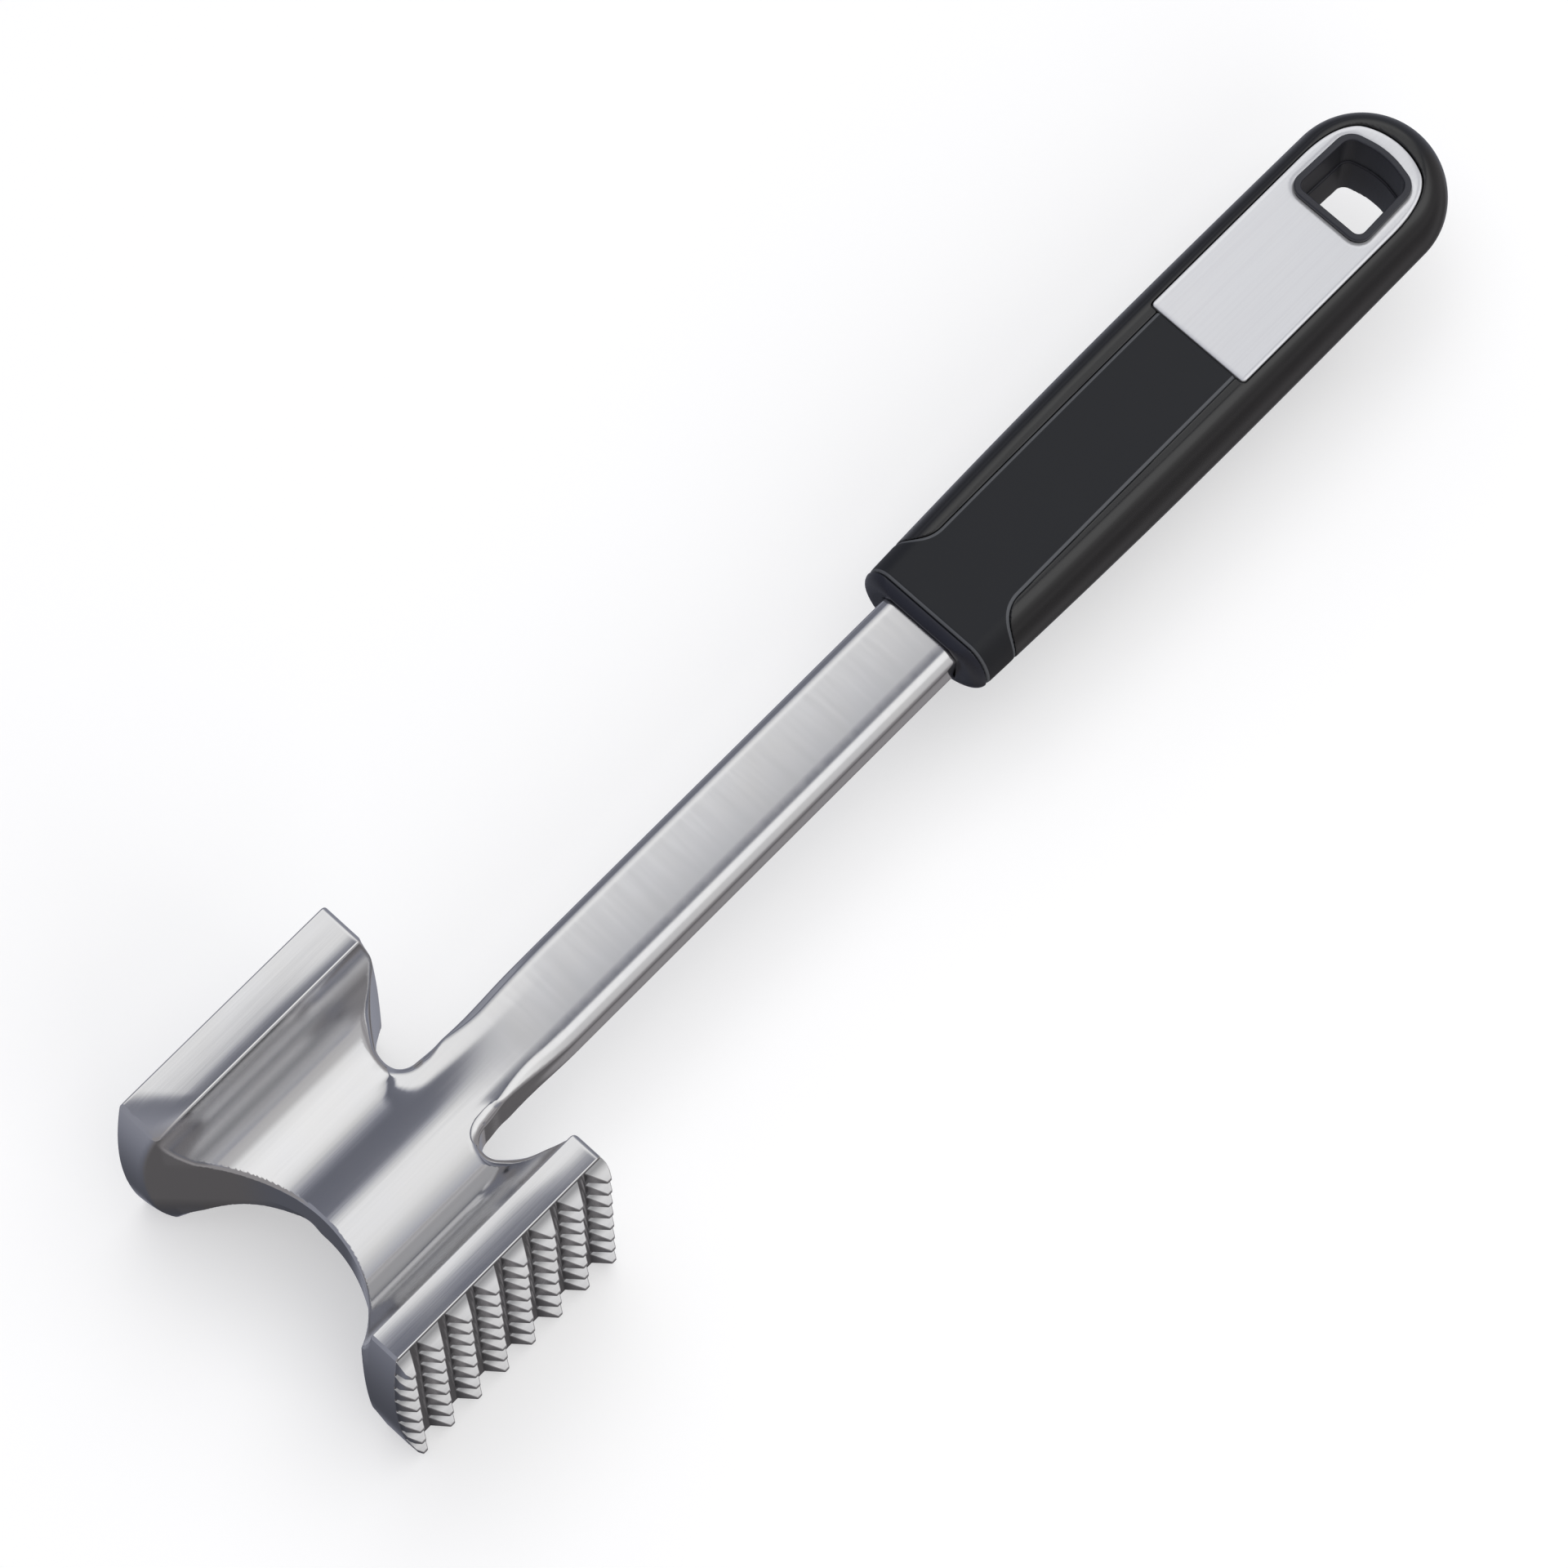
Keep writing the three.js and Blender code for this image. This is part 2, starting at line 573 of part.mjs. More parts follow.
// --- Assembly ----------------------------------------------------------------------

const envelope = handleEnvelope();

const mallet = new THREE.Group();
mallet.add(
  meshOf('head_and_shank', headAndShank(), 0xb9babd, 0.28, 1),
  meshOf('front_collar', frontCollar(), 0x22242c, 0.3, 0),
  meshOf('handle_core', handleCore(envelope), 0x2c2d31, 0.5, 0),
  meshOf('soft_grip', softGrip(envelope), 0x1c1c1e, 0.55, 0),
  meshOf('inlay_plate', inlayPlate(), 0xcfd0d4, 0.35, 1),
  meshOf('hang_hole_liner', hangHoleLiner(), 0x34353a, 0.4, 0),
);
mallet.position.y = -SMOOTH_FACE_Y;

const part = new THREE.Group();
part.add(mallet);

export default part;
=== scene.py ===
"""Meat mallet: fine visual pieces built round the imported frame.

Each piece is described by a signed distance in millimetres, negative inside, meshed on a
grid and pulled onto its exact surface. The working origin is where the shank axis crosses
the hammer axis: +X to the butt of the handle, +Y out of the smooth face, +Z to the front.
"""
import math

import bpy
import numpy as np
from mathutils import Matrix, Vector


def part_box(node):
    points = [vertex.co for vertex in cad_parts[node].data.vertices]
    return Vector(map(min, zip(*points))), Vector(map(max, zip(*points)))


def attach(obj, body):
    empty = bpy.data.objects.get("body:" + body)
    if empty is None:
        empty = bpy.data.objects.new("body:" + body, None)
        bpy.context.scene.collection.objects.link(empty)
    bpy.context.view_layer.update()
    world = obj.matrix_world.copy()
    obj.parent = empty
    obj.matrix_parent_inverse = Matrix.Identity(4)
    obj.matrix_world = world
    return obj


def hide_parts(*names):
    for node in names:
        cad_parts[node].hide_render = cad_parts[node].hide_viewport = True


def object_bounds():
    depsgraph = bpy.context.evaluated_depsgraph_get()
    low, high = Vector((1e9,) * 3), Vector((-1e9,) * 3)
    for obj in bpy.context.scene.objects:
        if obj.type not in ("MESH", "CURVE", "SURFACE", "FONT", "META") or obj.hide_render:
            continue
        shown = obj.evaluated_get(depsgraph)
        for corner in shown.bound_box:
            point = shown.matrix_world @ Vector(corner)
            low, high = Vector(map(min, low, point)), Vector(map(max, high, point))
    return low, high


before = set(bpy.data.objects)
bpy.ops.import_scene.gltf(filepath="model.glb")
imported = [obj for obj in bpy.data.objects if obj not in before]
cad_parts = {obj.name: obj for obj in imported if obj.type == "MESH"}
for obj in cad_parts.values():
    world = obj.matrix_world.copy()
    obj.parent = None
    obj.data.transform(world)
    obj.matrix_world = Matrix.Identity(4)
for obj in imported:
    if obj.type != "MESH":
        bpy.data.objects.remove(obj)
cad_low, cad_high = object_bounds()

# --- Places taken from the frame, in millimetres ------------------------------------

MM = 0.001
grip_low, grip_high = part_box("soft_grip")
head_low, head_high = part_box("head_and_shank")
plate_low, plate_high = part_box("inlay_plate")
liner_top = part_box("hang_hole_liner")[1].z
collar_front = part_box("front_collar")[0].x
AXIS_Y = (grip_low.y + grip_high.y) / 2

FACE_HALF = head_high.z / MM
SMOOTH_FACE_Y = (head_high.y - AXIS_Y) / MM
TIP_Y = (head_low.y - AXIS_Y) / MM
TANG_END_X = head_high.x / MM
BUTT_X = grip_high.x / MM
HANDLE_HALF_DEPTH = grip_high.z / MM
WIDEST_HALF = (grip_high.y - AXIS_Y) / MM
PLATE_FRONT_X = plate_low.x / MM
PLATE_HALF = (plate_high.y - AXIS_Y) / MM
PLATE_TOP_Z = plate_high.z / MM
LIP_TOP_Z = liner_top / MM
COLLAR_FRONT_X = collar_front / MM + 0.9   # the nose starts a little behind the CAD's

# --- Signed-distance helpers ---------------------------------------------------------


def smoothstep(low, high, t):
    s = np.clip((t - low) / (high - low), 0, 1)
    return s * s * (3 - 2 * s)


def round_and(a, b, r):
    """Intersection whose edge has radius r."""
    return np.minimum(-r, np.maximum(a, b)) + np.hypot(
        np.maximum(a + r, 0), np.maximum(b + r, 0))


def soft_and(a, b, k):
    """Intersection whose edge is eased over a width k."""
    h = np.maximum(k - np.abs(a - b), 0) / k
    return np.maximum(a, b) + h * h * k / 4


def bar_distance(y, z, half_width, half_depth, bevel):
    """Distance to an endless bar along X with bevelled edges."""
    ay, az = np.abs(y), np.abs(z)
    chamfer = (ay + az - half_width - half_depth + bevel) / math.sqrt(2)
    return np.maximum(np.maximum(ay - half_width, az - half_depth), chamfer)


def outline_distance(x, y, outline):
    """Signed distance in the plane to a closed outline, negative inside."""
    x, y = np.broadcast_arrays(x, y)
    best = np.full(x.shape, 1e9)
    odd = np.zeros(x.shape, bool)
    count = len(outline)
    for i in range(count):
        ax, ay = outline[i]
        bx, by = outline[(i + 1) % count]
        ex, ey = bx - ax, by - ay
        wx, wy = x - ax, y - ay
        t = np.clip((wx * ex + wy * ey) / (ex * ex + ey * ey), 0, 1)
        best = np.minimum(best, (wx - ex * t) ** 2 + (wy - ey * t) ** 2)
        if ay != by:
            odd ^= ((ay > y) != (by > y)) & (wx < wy * ex / ey)
    distance = np.sqrt(best)
    return np.where(odd, -distance, distance)


def rounded_outline(corners, steps):
    """Points of a polygon with rounded corners; each corner is (x, y, radius)."""
    points = []
    count = len(corners)
    for i, (x, y, radius) in enumerate(corners):
        corner = np.array([x, y])
        before = np.array(corners[i - 1][:2]) - corner
        after = np.array(corners[(i + 1) % count][:2]) - corner
        before /= np.linalg.norm(before)
        after /= np.linalg.norm(after)
        half = math.acos(float(before @ after)) / 2
        middle = (before + after) / np.linalg.norm(before + after)
        centre = corner + middle * radius / math.sin(half)
        start = corner + before * radius / math.tan(half) - centre
        end = corner + after * radius / math.tan(half) - centre
        a0 = math.atan2(start[1], start[0])
        turn = math.remainder(math.atan2(end[1], end[0]) - a0, 2 * math.pi)
        for k in range(steps + 1):
            a = a0 + turn * k / steps
            points.append(centre + radius * np.array([math.cos(a), math.sin(a)]))
    return points


def axis(*runs):
    """Grid stations: each run is (start, end, step)."""
    out = [runs[0][0]]
    for start, end, step in runs:
        n = max(1, round((end - start) / step))
        out += [start + (end - start) * (i + 1) / n for i in range(n)]
    return np.array(out)


# --- Meshing -------------------------------------------------------------------------

PULLS = 4            # steps that draw each vertex onto the exact surface
PULL_LIMIT = 0.3     # longest step, mm
FLATNESS = 0.002     # how far from a plane a vertex still counts as on it, mm
CORNERS = [(i, j, k) for i in (0, 1) for j in (0, 1) for k in (0, 1)]
CELL_EDGES = [(a, b) for a in CORNERS for b in CORNERS
              if a < b and sum(abs(p - q) for p, q in zip(a, b)) == 1]


def gradient(f, p, h=0.01):
    g = np.empty_like(p)
    for i in range(3):
        step = np.zeros(3)
        step[i] = h
        hi, lo = p + step, p - step
        g[:, i] = (f(*hi.T) - f(*lo.T)) / (2 * h)
    return g


def surface(f, xs, ys, zs):
    """Vertices, quads and vertex normals of the zero surface of f."""
    value = f(xs[:, None, None], ys[None, :, None], zs[None, None, :])
    value = np.broadcast_to(value, (len(xs), len(ys), len(zs)))
    inside = value < 0
    total = sum(inside[i:len(xs) - 1 + i, j:len(ys) - 1 + j, k:len(zs) - 1 + k].astype(np.int8)
                for i, j, k in CORNERS)
    cells = np.argwhere((total > 0) & (total < 8))
    number = np.full(total.shape, -1)
    number[tuple(cells.T)] = np.arange(len(cells))
    places = (xs, ys, zs)
    summed = np.zeros((len(cells), 3))
    hits = np.zeros(len(cells))
    for a, b in CELL_EDGES:
        ia, ib = cells + a, cells + b
        va, vb = value[tuple(ia.T)], value[tuple(ib.T)]
        cut = (va < 0) != (vb < 0)
        t = np.where(cut, va / np.where(cut, va - vb, 1), 0)
        for c in range(3):
            pa, pb = places[c][ia[:, c]], places[c][ib[:, c]]
            summed[:, c] += np.where(cut, pa + (pb - pa) * t, 0)
        hits += cut
    p = summed / hits[:, None]
    quads = []
    for c, (u, v) in enumerate(((1, 2), (2, 0), (0, 1))):
        low = [slice(1, -1)] * 3
        high = [slice(1, -1)] * 3
        low[c], high[c] = slice(0, -1), slice(1, None)
        a, b = inside[tuple(low)], inside[tuple(high)]
        for outward in (True, False):
            node = np.argwhere(a & ~b if outward else ~a & b)
            node[:, u] += 1
            node[:, v] += 1
            ring = []
            for du, dv in ((-1, -1), (0, -1), (0, 0), (-1, 0)):
                cell = node.copy()
                cell[:, u] += du
                cell[:, v] += dv
                ring.append(number[tuple(cell.T)])
            quad = np.stack(ring, 1)
            quads.append(quad if outward else quad[:, ::-1])
    for _ in range(PULLS):
        g = gradient(f, p)
        step = f(*p.T) / np.maximum((g * g).sum(1), 0.05)
        p -= g * np.clip(step, -PULL_LIMIT, PULL_LIMIT)[:, None]
    g = gradient(f, p)
    return p, np.concatenate(quads), g / np.maximum(np.linalg.norm(g, axis=1), 1e-6)[:, None]


def merge_flat(p, faces, y):
    """Replaces the quads that lie flat at a given y by one polygon."""
    on = (np.abs(p[:, 1] - y) < FLATNESS)[faces].all(1)
    quads = faces[on]
    pairs = set()
    for k in range(4):
        pairs.update(zip(quads[:, k].tolist(), quads[:, (k + 1) % 4].tolist()))
    follow = {a: b for a, b in pairs if (b, a) not in pairs}
    start = max(follow, key=lambda i: p[i, 0])
    loop = [start]
    while follow[loop[-1]] != start:
        loop.append(follow[loop[-1]])
    return faces[~on], loop


def to_frame(p):
    """Working millimetres to metres in the row frame."""
    return np.asarray(p) * MM + np.array([0, AXIS_Y, 0])


def piece(node, p, faces, normals, material):
    """Adds a mesh that stands for a CAD node. Normals are one per vertex."""
    name = node + "_fine"
    mesh = bpy.data.meshes.new(name)
    mesh.from_pydata(to_frame(p).tolist(), [], [list(map(int, f)) for f in faces])
    mesh.validate()
    mesh.polygons.foreach_set("use_smooth", np.ones(len(mesh.polygons), bool))
    mesh.materials.append(material)
    mesh.normals_split_custom_set_from_vertices(np.asarray(normals).tolist())
    mesh.update()
    obj = bpy.data.objects.new(name, mesh)
    bpy.context.scene.collection.objects.link(obj)
    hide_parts(node)
    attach(obj, "root")


# --- Head, shank and tang ------------------------------------------------------------

NECK_LOW_Z = 5.8          # front of the neck where it is lowest, and where that is in Y
NECK_LOW_Y = -2.8
NECK_CROWN_RADIUS = 95.0  # of the shallow arc between the two coves
SMOOTH_COVE_RADIUS = 18.5
TOOTHED_COVE_RADIUS = 20.0
SMOOTH_FLANGE = 8.7
SMOOTH_INNER_Y = SMOOTH_FACE_Y - SMOOTH_FLANGE
TOOTHED_INNER_Y = -24.6
TOOTH_ROOT_Y = -30.6
NECK_ARC_RADIUS = 26.0    # arcs that waist the head, seen from the front, and their centres
FREE_ARC_X = -36.5
SHANK_ARC_X = 38.3
NOTCH_FILLET = 4.0        # in plan, between an arc and the shank
NOTCH_RIM = 2.0           # edge radius round a notch
EDGE = 0.5                # edge radius elsewhere
SHANK_HALF_WIDTH = 8.1
SHANK_HALF_DEPTH = 5.6
SHANK_BEVEL = 1.75
SHANK_LEAN = 0.45         # how far the toothed side of the shank leans out at the front
WAIST = 0.5               # how much narrower the shank is just behind the head
FACET_CROWN = 0.0012      # curvature of the shank's front across its width
# Edge radii.
COVE_EDGE = 0.35
FACE_EDGE = 0.4
ROOT_EDGE = 0.2
HANDLE_SIDE_EDGE = 1.0
SHANK_END_EDGE = 0.3
# Crowned fronts of the flanges.
SMOOTH_CREST_Y = 35.15    # where the smooth one would be level
SMOOTH_CROWN_RADIUS = 357.0
COVE_DROP_Y = 26.1        # it drops faster from here to its cove
COVE_DROP = 0.00635
TOOTHED_CREST_Y = 26.35   # distance from the axis at which the toothed one is level
TOOTHED_CROWN_RADIUS = 75.0
STEEP_END = 0.5           # beyond this distance outwards its slope grows more slowly
FAR_SLOPE = 0.0067
FAR_CROWN = 0.0029
FLARE_NORMAL = (0.767, 0.642)   # flat that widens the smooth flange at its free end
FLARE_POINT = (-19.5, 19.6)
FLARE_START_Y = 17
# Half-length at mid-height, and radius, of the flanges' bulging ends.
HANDLE_SIDE_END = (25.75, 260.0)
SMOOTH_FREE_END = (25.85, 131.0)
TOOTHED_FREE_END = (24.7, 200.0)
BACK_CORNER_UP = (0.69, 0.634, 0.349)   # plane that cuts the smooth flange's back corner
BACK_CORNER_LIMIT = 8.0
BACK_CORNER_EASE = 5.0
OFF = -9                  # a distance deep inside, for a cut that isn't wanted there
TANG_HALF = (6, 3)        # half-width and half-depth
TANG_BEVEL = 0.8
TANG_OVERLAP = 2          # how far the tang runs into the shank
TANG_HOLE_FLAT = (2.9, 0.9)     # half-size of a lock hole between its rounded corners
TANG_HOLE_RADIUS = 1.6
NOTCH_REACH = NECK_ARC_RADIUS - NOTCH_FILLET
NOTCH_Y = SHANK_HALF_WIDTH + NOTCH_FILLET
NOTCH_X = SHANK_ARC_X - math.sqrt(NOTCH_REACH ** 2 - NOTCH_Y ** 2)
SHANK_END_X = 141.0
TANG_HOLES = (168.0, 204.0)


def cove_distance(y, z):
    """Void between the flanges, seen from the end of the head: positive in the void."""
    cz = NECK_LOW_Z + NECK_CROWN_RADIUS
    out = NECK_CROWN_RADIUS - np.hypot(y - NECK_LOW_Y, z - cz)
    slope = (y - NECK_LOW_Y) / np.maximum(cz - z, 1)
    for wall, side, radius in ((SMOOTH_INNER_Y, 1, SMOOTH_COVE_RADIUS),
                               (TOOTHED_INNER_Y, -1, TOOTHED_COVE_RADIUS)):
        cy = wall - side * radius
        dz = math.sqrt((NECK_CROWN_RADIUS - radius) ** 2 - (cy - NECK_LOW_Y) ** 2)
        cove = radius - np.hypot(y - cy, np.minimum(z - (cz - dz), 0))
        limit = (cy - NECK_LOW_Y) * side / dz
        out = np.where(slope * side > limit, cove, out)
    return out


def band_distance(x, y, z):
    """Fronts of the two flanges, each slightly crowned: positive in front of them."""
    # The smooth flange's front drops a little towards its cove and at its free end.
    roll = np.maximum(-x - 12.5 - 0.8 * (y - 24), 0) ** 2 / 170
    inner = COVE_DROP * np.maximum(COVE_DROP_Y - y, 0) ** 2
    flatter = 1 - 0.4 * smoothstep(2, 22, x)
    crown = flatter * (y - SMOOTH_CREST_Y) ** 2 / (2 * SMOOTH_CROWN_RADIUS)
    smooth = z - FACE_HALF + crown + inner + roll
    # The toothed one's level line wanders a little from end to end.
    crest = TOOTHED_CREST_Y + 1.6 * smoothstep(8, 22, x) - 0.6 * smoothstep(-6, -22, x)
    out = np.maximum(-y - crest - STEEP_END, 0)
    near = np.minimum(-y - crest, STEEP_END)
    toothed = z - FACE_HALF + near ** 2 / (2 * TOOTHED_CROWN_RADIUS)
    toothed = toothed + FAR_SLOPE * out + FAR_CROWN * out ** 2
    return np.where(y < 0, toothed, smooth)


def shank_half_width(x):
    """The shank is a little narrower just behind the head."""
    return SHANK_HALF_WIDTH - WAIST * (smoothstep(19.4, 25, x) - smoothstep(27, 42, x))


def plan_distance(x, y, lean):
    """Head and shank seen from the front, with the fillets of the two notches."""
    ay = np.abs(y)
    left = NECK_ARC_RADIUS - np.hypot(np.maximum(x - FREE_ARC_X, 0), ay)
    fx, fy = x - FLARE_POINT[0], ay - FLARE_POINT[1]
    flare = np.where(y > 0, -FLARE_NORMAL[0] * fx - FLARE_NORMAL[1] * fy, OFF)
    left = np.maximum(left, np.minimum(flare, ay - FLARE_START_Y))
    right = NECK_ARC_RADIUS - np.hypot(np.minimum(x - SHANK_ARC_X, 0), ay)
    qx, qy = x - NOTCH_X, ay - NOTCH_Y
    dx, dy = (NOTCH_X - SHANK_ARC_X) / NOTCH_REACH, NOTCH_Y / NOTCH_REACH
    in_fillet = (qx < 0) & (dx * qy - dy * qx > 0)
    fillet = NOTCH_FILLET - np.hypot(qx, qy)
    side = ay - shank_half_width(x) - lean
    return left, np.where(in_fillet, fillet, np.minimum(right, side))


def end_bulge(x, y):
    """Half-length of the flanges at mid-height and the radius of their bulging ends."""
    return tuple(np.where(x > 0, a, np.where(y > 0, b, c))
                 for a, b, c in zip(HANDLE_SIDE_END, SMOOTH_FREE_END, TOOTHED_FREE_END))


def head_distance(x, y, z):
    back = z < 0
    lean = SHANK_LEAN * smoothstep(-5, 4, z) * smoothstep(24, 40, x) * smoothstep(-3, -6, y)
    z = np.abs(z)
    ay = np.abs(y)
    spool = round_and(band_distance(x, y, z), cove_distance(y, z), COVE_EDGE)
    # The shank's front, slightly crowned, takes over from the neck's.
    rise = (NECK_LOW_Z + 0.1 - SHANK_HALF_DEPTH) * smoothstep(46, 12, x)
    facet = z - (SHANK_HALF_DEPTH + rise - FACET_CROWN * y * y)
    near = 1 - smoothstep(9, 12.5, ay)
    top = spool + (facet - spool) * (smoothstep(12, 44, x) * near)
    # Both long edges of the shank roll off before their bevels.
    top = top + 0.02 * near * (
        smoothstep(10, 19, x) * (1 - smoothstep(30, 50, x)) * np.maximum(y - 2.6, 0) ** 2
        + smoothstep(18, 24, x) * np.maximum(-y - 4.3, 0) ** 2)
    left, open_side = plan_distance(x, y, lean)
    body = round_and(left, top, EDGE)
    rim = 1 - smoothstep(1.5, 5, np.hypot(x - NOTCH_X, ay - NOTCH_Y) - NOTCH_FILLET)
    rim = rim * (1 - smoothstep(21, 27, x))
    body = round_and(body, open_side, EDGE + (NOTCH_RIM - EDGE) * rim)
    bevel = SHANK_BEVEL * smoothstep(20, 34, x) * (1 - smoothstep(10.5, 14, ay))
    # The bevel lies at 60 degrees to the shank's side.
    body = soft_and(body, 0.5 * open_side + 0.866 * top + 0.5 * bevel, 0.35)
    apex, radius = end_bulge(x, y)
    ends = np.hypot(np.abs(x) + radius - apex, z) - radius
    ends = np.where((ay > 12) | (x < 0), ends, OFF)
    body = round_and(body, ends, np.where(x > 0, HANDLE_SIDE_EDGE, EDGE))
    # The cut of the back corner fades out towards the neck's middle and its front.
    ux, uy, uz = BACK_CORNER_UP
    low = -(ux * x + uy * ay - uz * z) - BACK_CORNER_LIMIT - 0.19 * np.maximum(6 - y, 0) ** 2
    low = low - 7 * (1 - smoothstep(0, 3.5, z))
    body = np.where(back & (x < 0), soft_and(body, low, BACK_CORNER_EASE), body)
    body = round_and(body, y - SMOOTH_FACE_Y, FACE_EDGE)
    body = round_and(body, TOOTH_ROOT_Y - y, ROOT_EDGE)
    body = round_and(body, x - SHANK_END_X, SHANK_END_EDGE)
    tang = bar_distance(y, z, *TANG_HALF, TANG_BEVEL)
    tang = np.maximum(tang, np.maximum(x - TANG_END_X, SHANK_END_X - TANG_OVERLAP - x))
    for hole_x in TANG_HOLES:
        hx = np.maximum(np.abs(x - hole_x) - TANG_HOLE_FLAT[0], 0)
        hy = np.maximum(ay - TANG_HOLE_FLAT[1], 0)
        tang = np.maximum(tang, TANG_HOLE_RADIUS - np.hypot(hx, hy))
    return np.minimum(body, tang)


TOOTH_PITCH = 6.5
TEETH = 8
TOOTH_HEIGHT = TOOTH_ROOT_Y - TIP_Y
TOOTH_BASE_HALF = 2.45
TOOTH_TIP_HALF = 0.48
TOOTH_EDGE = 0.14     # radius of a tooth's four edges
TEETH_SHIFT = 0.3     # the whole field sits a little towards the handle
TOOTH_SINK = 0.4      # how far each tooth runs into the flange
TOOTH_LEAN = 0.05     # greatest random lean and shortening, near the tip
TOOTH_DROP = 0.1
SIDE_INSET = 0.03     # the outer columns stay this far inside the flange's ends
CORNER_STEPS = 3      # points in each corner of a tooth's section


def tooth_mesh():
    """Blunt pyramids on the toothed face, the outer columns trimmed to the flange ends."""
    rng = np.random.default_rng(4)
    slope = (TOOTH_BASE_HALF - TOOTH_TIP_HALF) / TOOTH_HEIGHT
    # Height above the root and inset of each ring of points.
    levels = [(-TOOTH_SINK, 0), (0, 0), (1.1, 0), (2.2, 0), (TOOTH_HEIGHT - 0.14, 0),
              (TOOTH_HEIGHT - 0.04, 0.04), (TOOTH_HEIGHT, 0.15)]
    n = 4 * CORNER_STEPS
    points, faces = [], []
    for i in range(TEETH):
        for j in range(TEETH):
            cx = (i - (TEETH - 1) / 2) * TOOTH_PITCH + TEETH_SHIFT
            cz = (j - (TEETH - 1) / 2) * TOOTH_PITCH
            lean = rng.uniform(-TOOTH_LEAN, TOOTH_LEAN, 2)
            drop = rng.uniform(0, TOOTH_DROP)
            base = len(points)
            for h, inset in levels:
                half = TOOTH_BASE_HALF - slope * h - inset
                r = min(TOOTH_EDGE, half * 0.4)
                for q in range(4):
                    for s in range(CORNER_STEPS):
                        a = math.pi / 2 * (q + s / (CORNER_STEPS - 1))
                        sx = 1 if q in (0, 3) else -1
                        sz = 1 if q in (0, 1) else -1
                        px = cx + sx * (half - r) + r * math.cos(a) + lean[0] * max(h, 0) / 3
                        pz = cz + sz * (half - r) + r * math.sin(a) + lean[1] * max(h, 0) / 3
                        points.append((px, TOOTH_ROOT_Y - h * (1 - drop * (h > 0) / 3), pz))
            for level in range(len(levels) - 1):
                for k in range(n):
                    a = base + level * n + k
                    b = base + level * n + (k + 1) % n
                    faces.append((a, b, b + n, a + n))
            faces.append(tuple(base + n - 1 - k for k in range(n)))
            faces.append(tuple(base + (len(levels) - 1) * n + k for k in range(n)))
    p = np.array(points)
    apex, radius = end_bulge(p[:, 0], p[:, 1])
    limit = apex - radius + np.sqrt(radius ** 2 - p[:, 2] ** 2) - SIDE_INSET
    p[:, 0] = np.clip(p[:, 0], -limit, limit)
    return p, faces


def area_normals(p, faces):
    """Vertex normals weighted by face area."""
    n = np.zeros_like(p)
    for f in faces:
        v = p[list(f)]
        a = sum(np.cross(v[k] - v[0], v[k + 1] - v[0]) for k in range(1, len(f) - 1))
        n[list(f)] += a
    return n / np.maximum(np.linalg.norm(n, axis=1), 1e-9)[:, None]


# --- Handle --------------------------------------------------------------------------

HANDLE_FRONT_X = 136.4
BUTT_RADIUS = 15.0
BUTT_SHORT = 0.5          # how much sooner than the CAD's the butt ends
BUTT_CENTRE_X = BUTT_X - BUTT_RADIUS - BUTT_SHORT
WIDEST_X = 205.0
FRONT_HALF = 14.0         # half-width and half-depth at the front end
FRONT_HALF_DEPTH = 7.7
FULL_DEPTH_X = 200.0
EDGE_ROUND = 4.8          # width of the rounded side, and the power of its curve
FRONT_POWER = 1.9
BACK_EDGE_SHARE = 1.45    # the back's share of the width and of the depth
BACK_DEPTH_SHARE = 0.94
BACK_POWER = 1.8
SEAM_FRONT_X = 143.2
SEAM_CORNER = 6.0
SEAM_LINE = 0.6           # widths of the painted highlight lines along the seam and the front rim
RIM_LINE = 0.5
SEAM_SLOPE = 0.3
RIM_SLOPE = 0.5
WEB_HALF = 9.0
WEB_END_X = 246.0
PLATE_END_X = 256.5
PLATE_ARC_RADIUS = 14.0
PLATE_CORNER = 4.5
PLATE_FRONT_CORNER = 0.8
PLATE_THICKNESS = 1
SOCKET_HALF = (10.25, 6.75)   # round the collar's sleeve and the end of the shank
SLEEVE_HALF = (10, 6.5)
SLEEVE_BEVEL = 1.8
SLEEVE_END_X = 140.6
COLLAR_NOSE_HALF = (10.5, 6.6)
LINER_WALL = 0.9
LIP_WIDTH = 1.3
LIP_EDGE = 0.3
LEDGE = 0.35
LEDGE_Z = 1.5
GAP = 0.25
SEAM_GAP = 0.08

HOLE_CORNERS = [(238.0, -7.2, 1.5), (251.1, -6.8, 2.4), (252.8, 0, 14.0),
                (251.1, 6.8, 2.4), (238.0, 7.2, 1.5)]
HOLE_OUTLINE = rounded_outline(HOLE_CORNERS, 8)


def hole_distance(x, y):
    return outline_distance(x, y, HOLE_OUTLINE)


def rounded_section(inset, z, half_depth, edge):
    """Distance to a section that is flat at front and back and rounded at its edge."""
    edge = np.where(z > 0, edge, edge * BACK_EDGE_SHARE)
    half_depth = np.where(z > 0, half_depth, half_depth * BACK_DEPTH_SHARE)
    power = np.where(z > 0, FRONT_POWER, BACK_POWER)
    a = np.maximum((edge - inset) / edge, 0)
    b = np.abs(z) / half_depth
    total = a ** power + b ** power + 1e-12
    q = total ** (1 / power)
    slope = total ** (1 / power - 1) * np.hypot(a ** (power - 1) / edge,
                                               b ** (power - 1) / half_depth)
    return np.maximum((q - 1) / np.maximum(slope, 0.02), -half_depth)


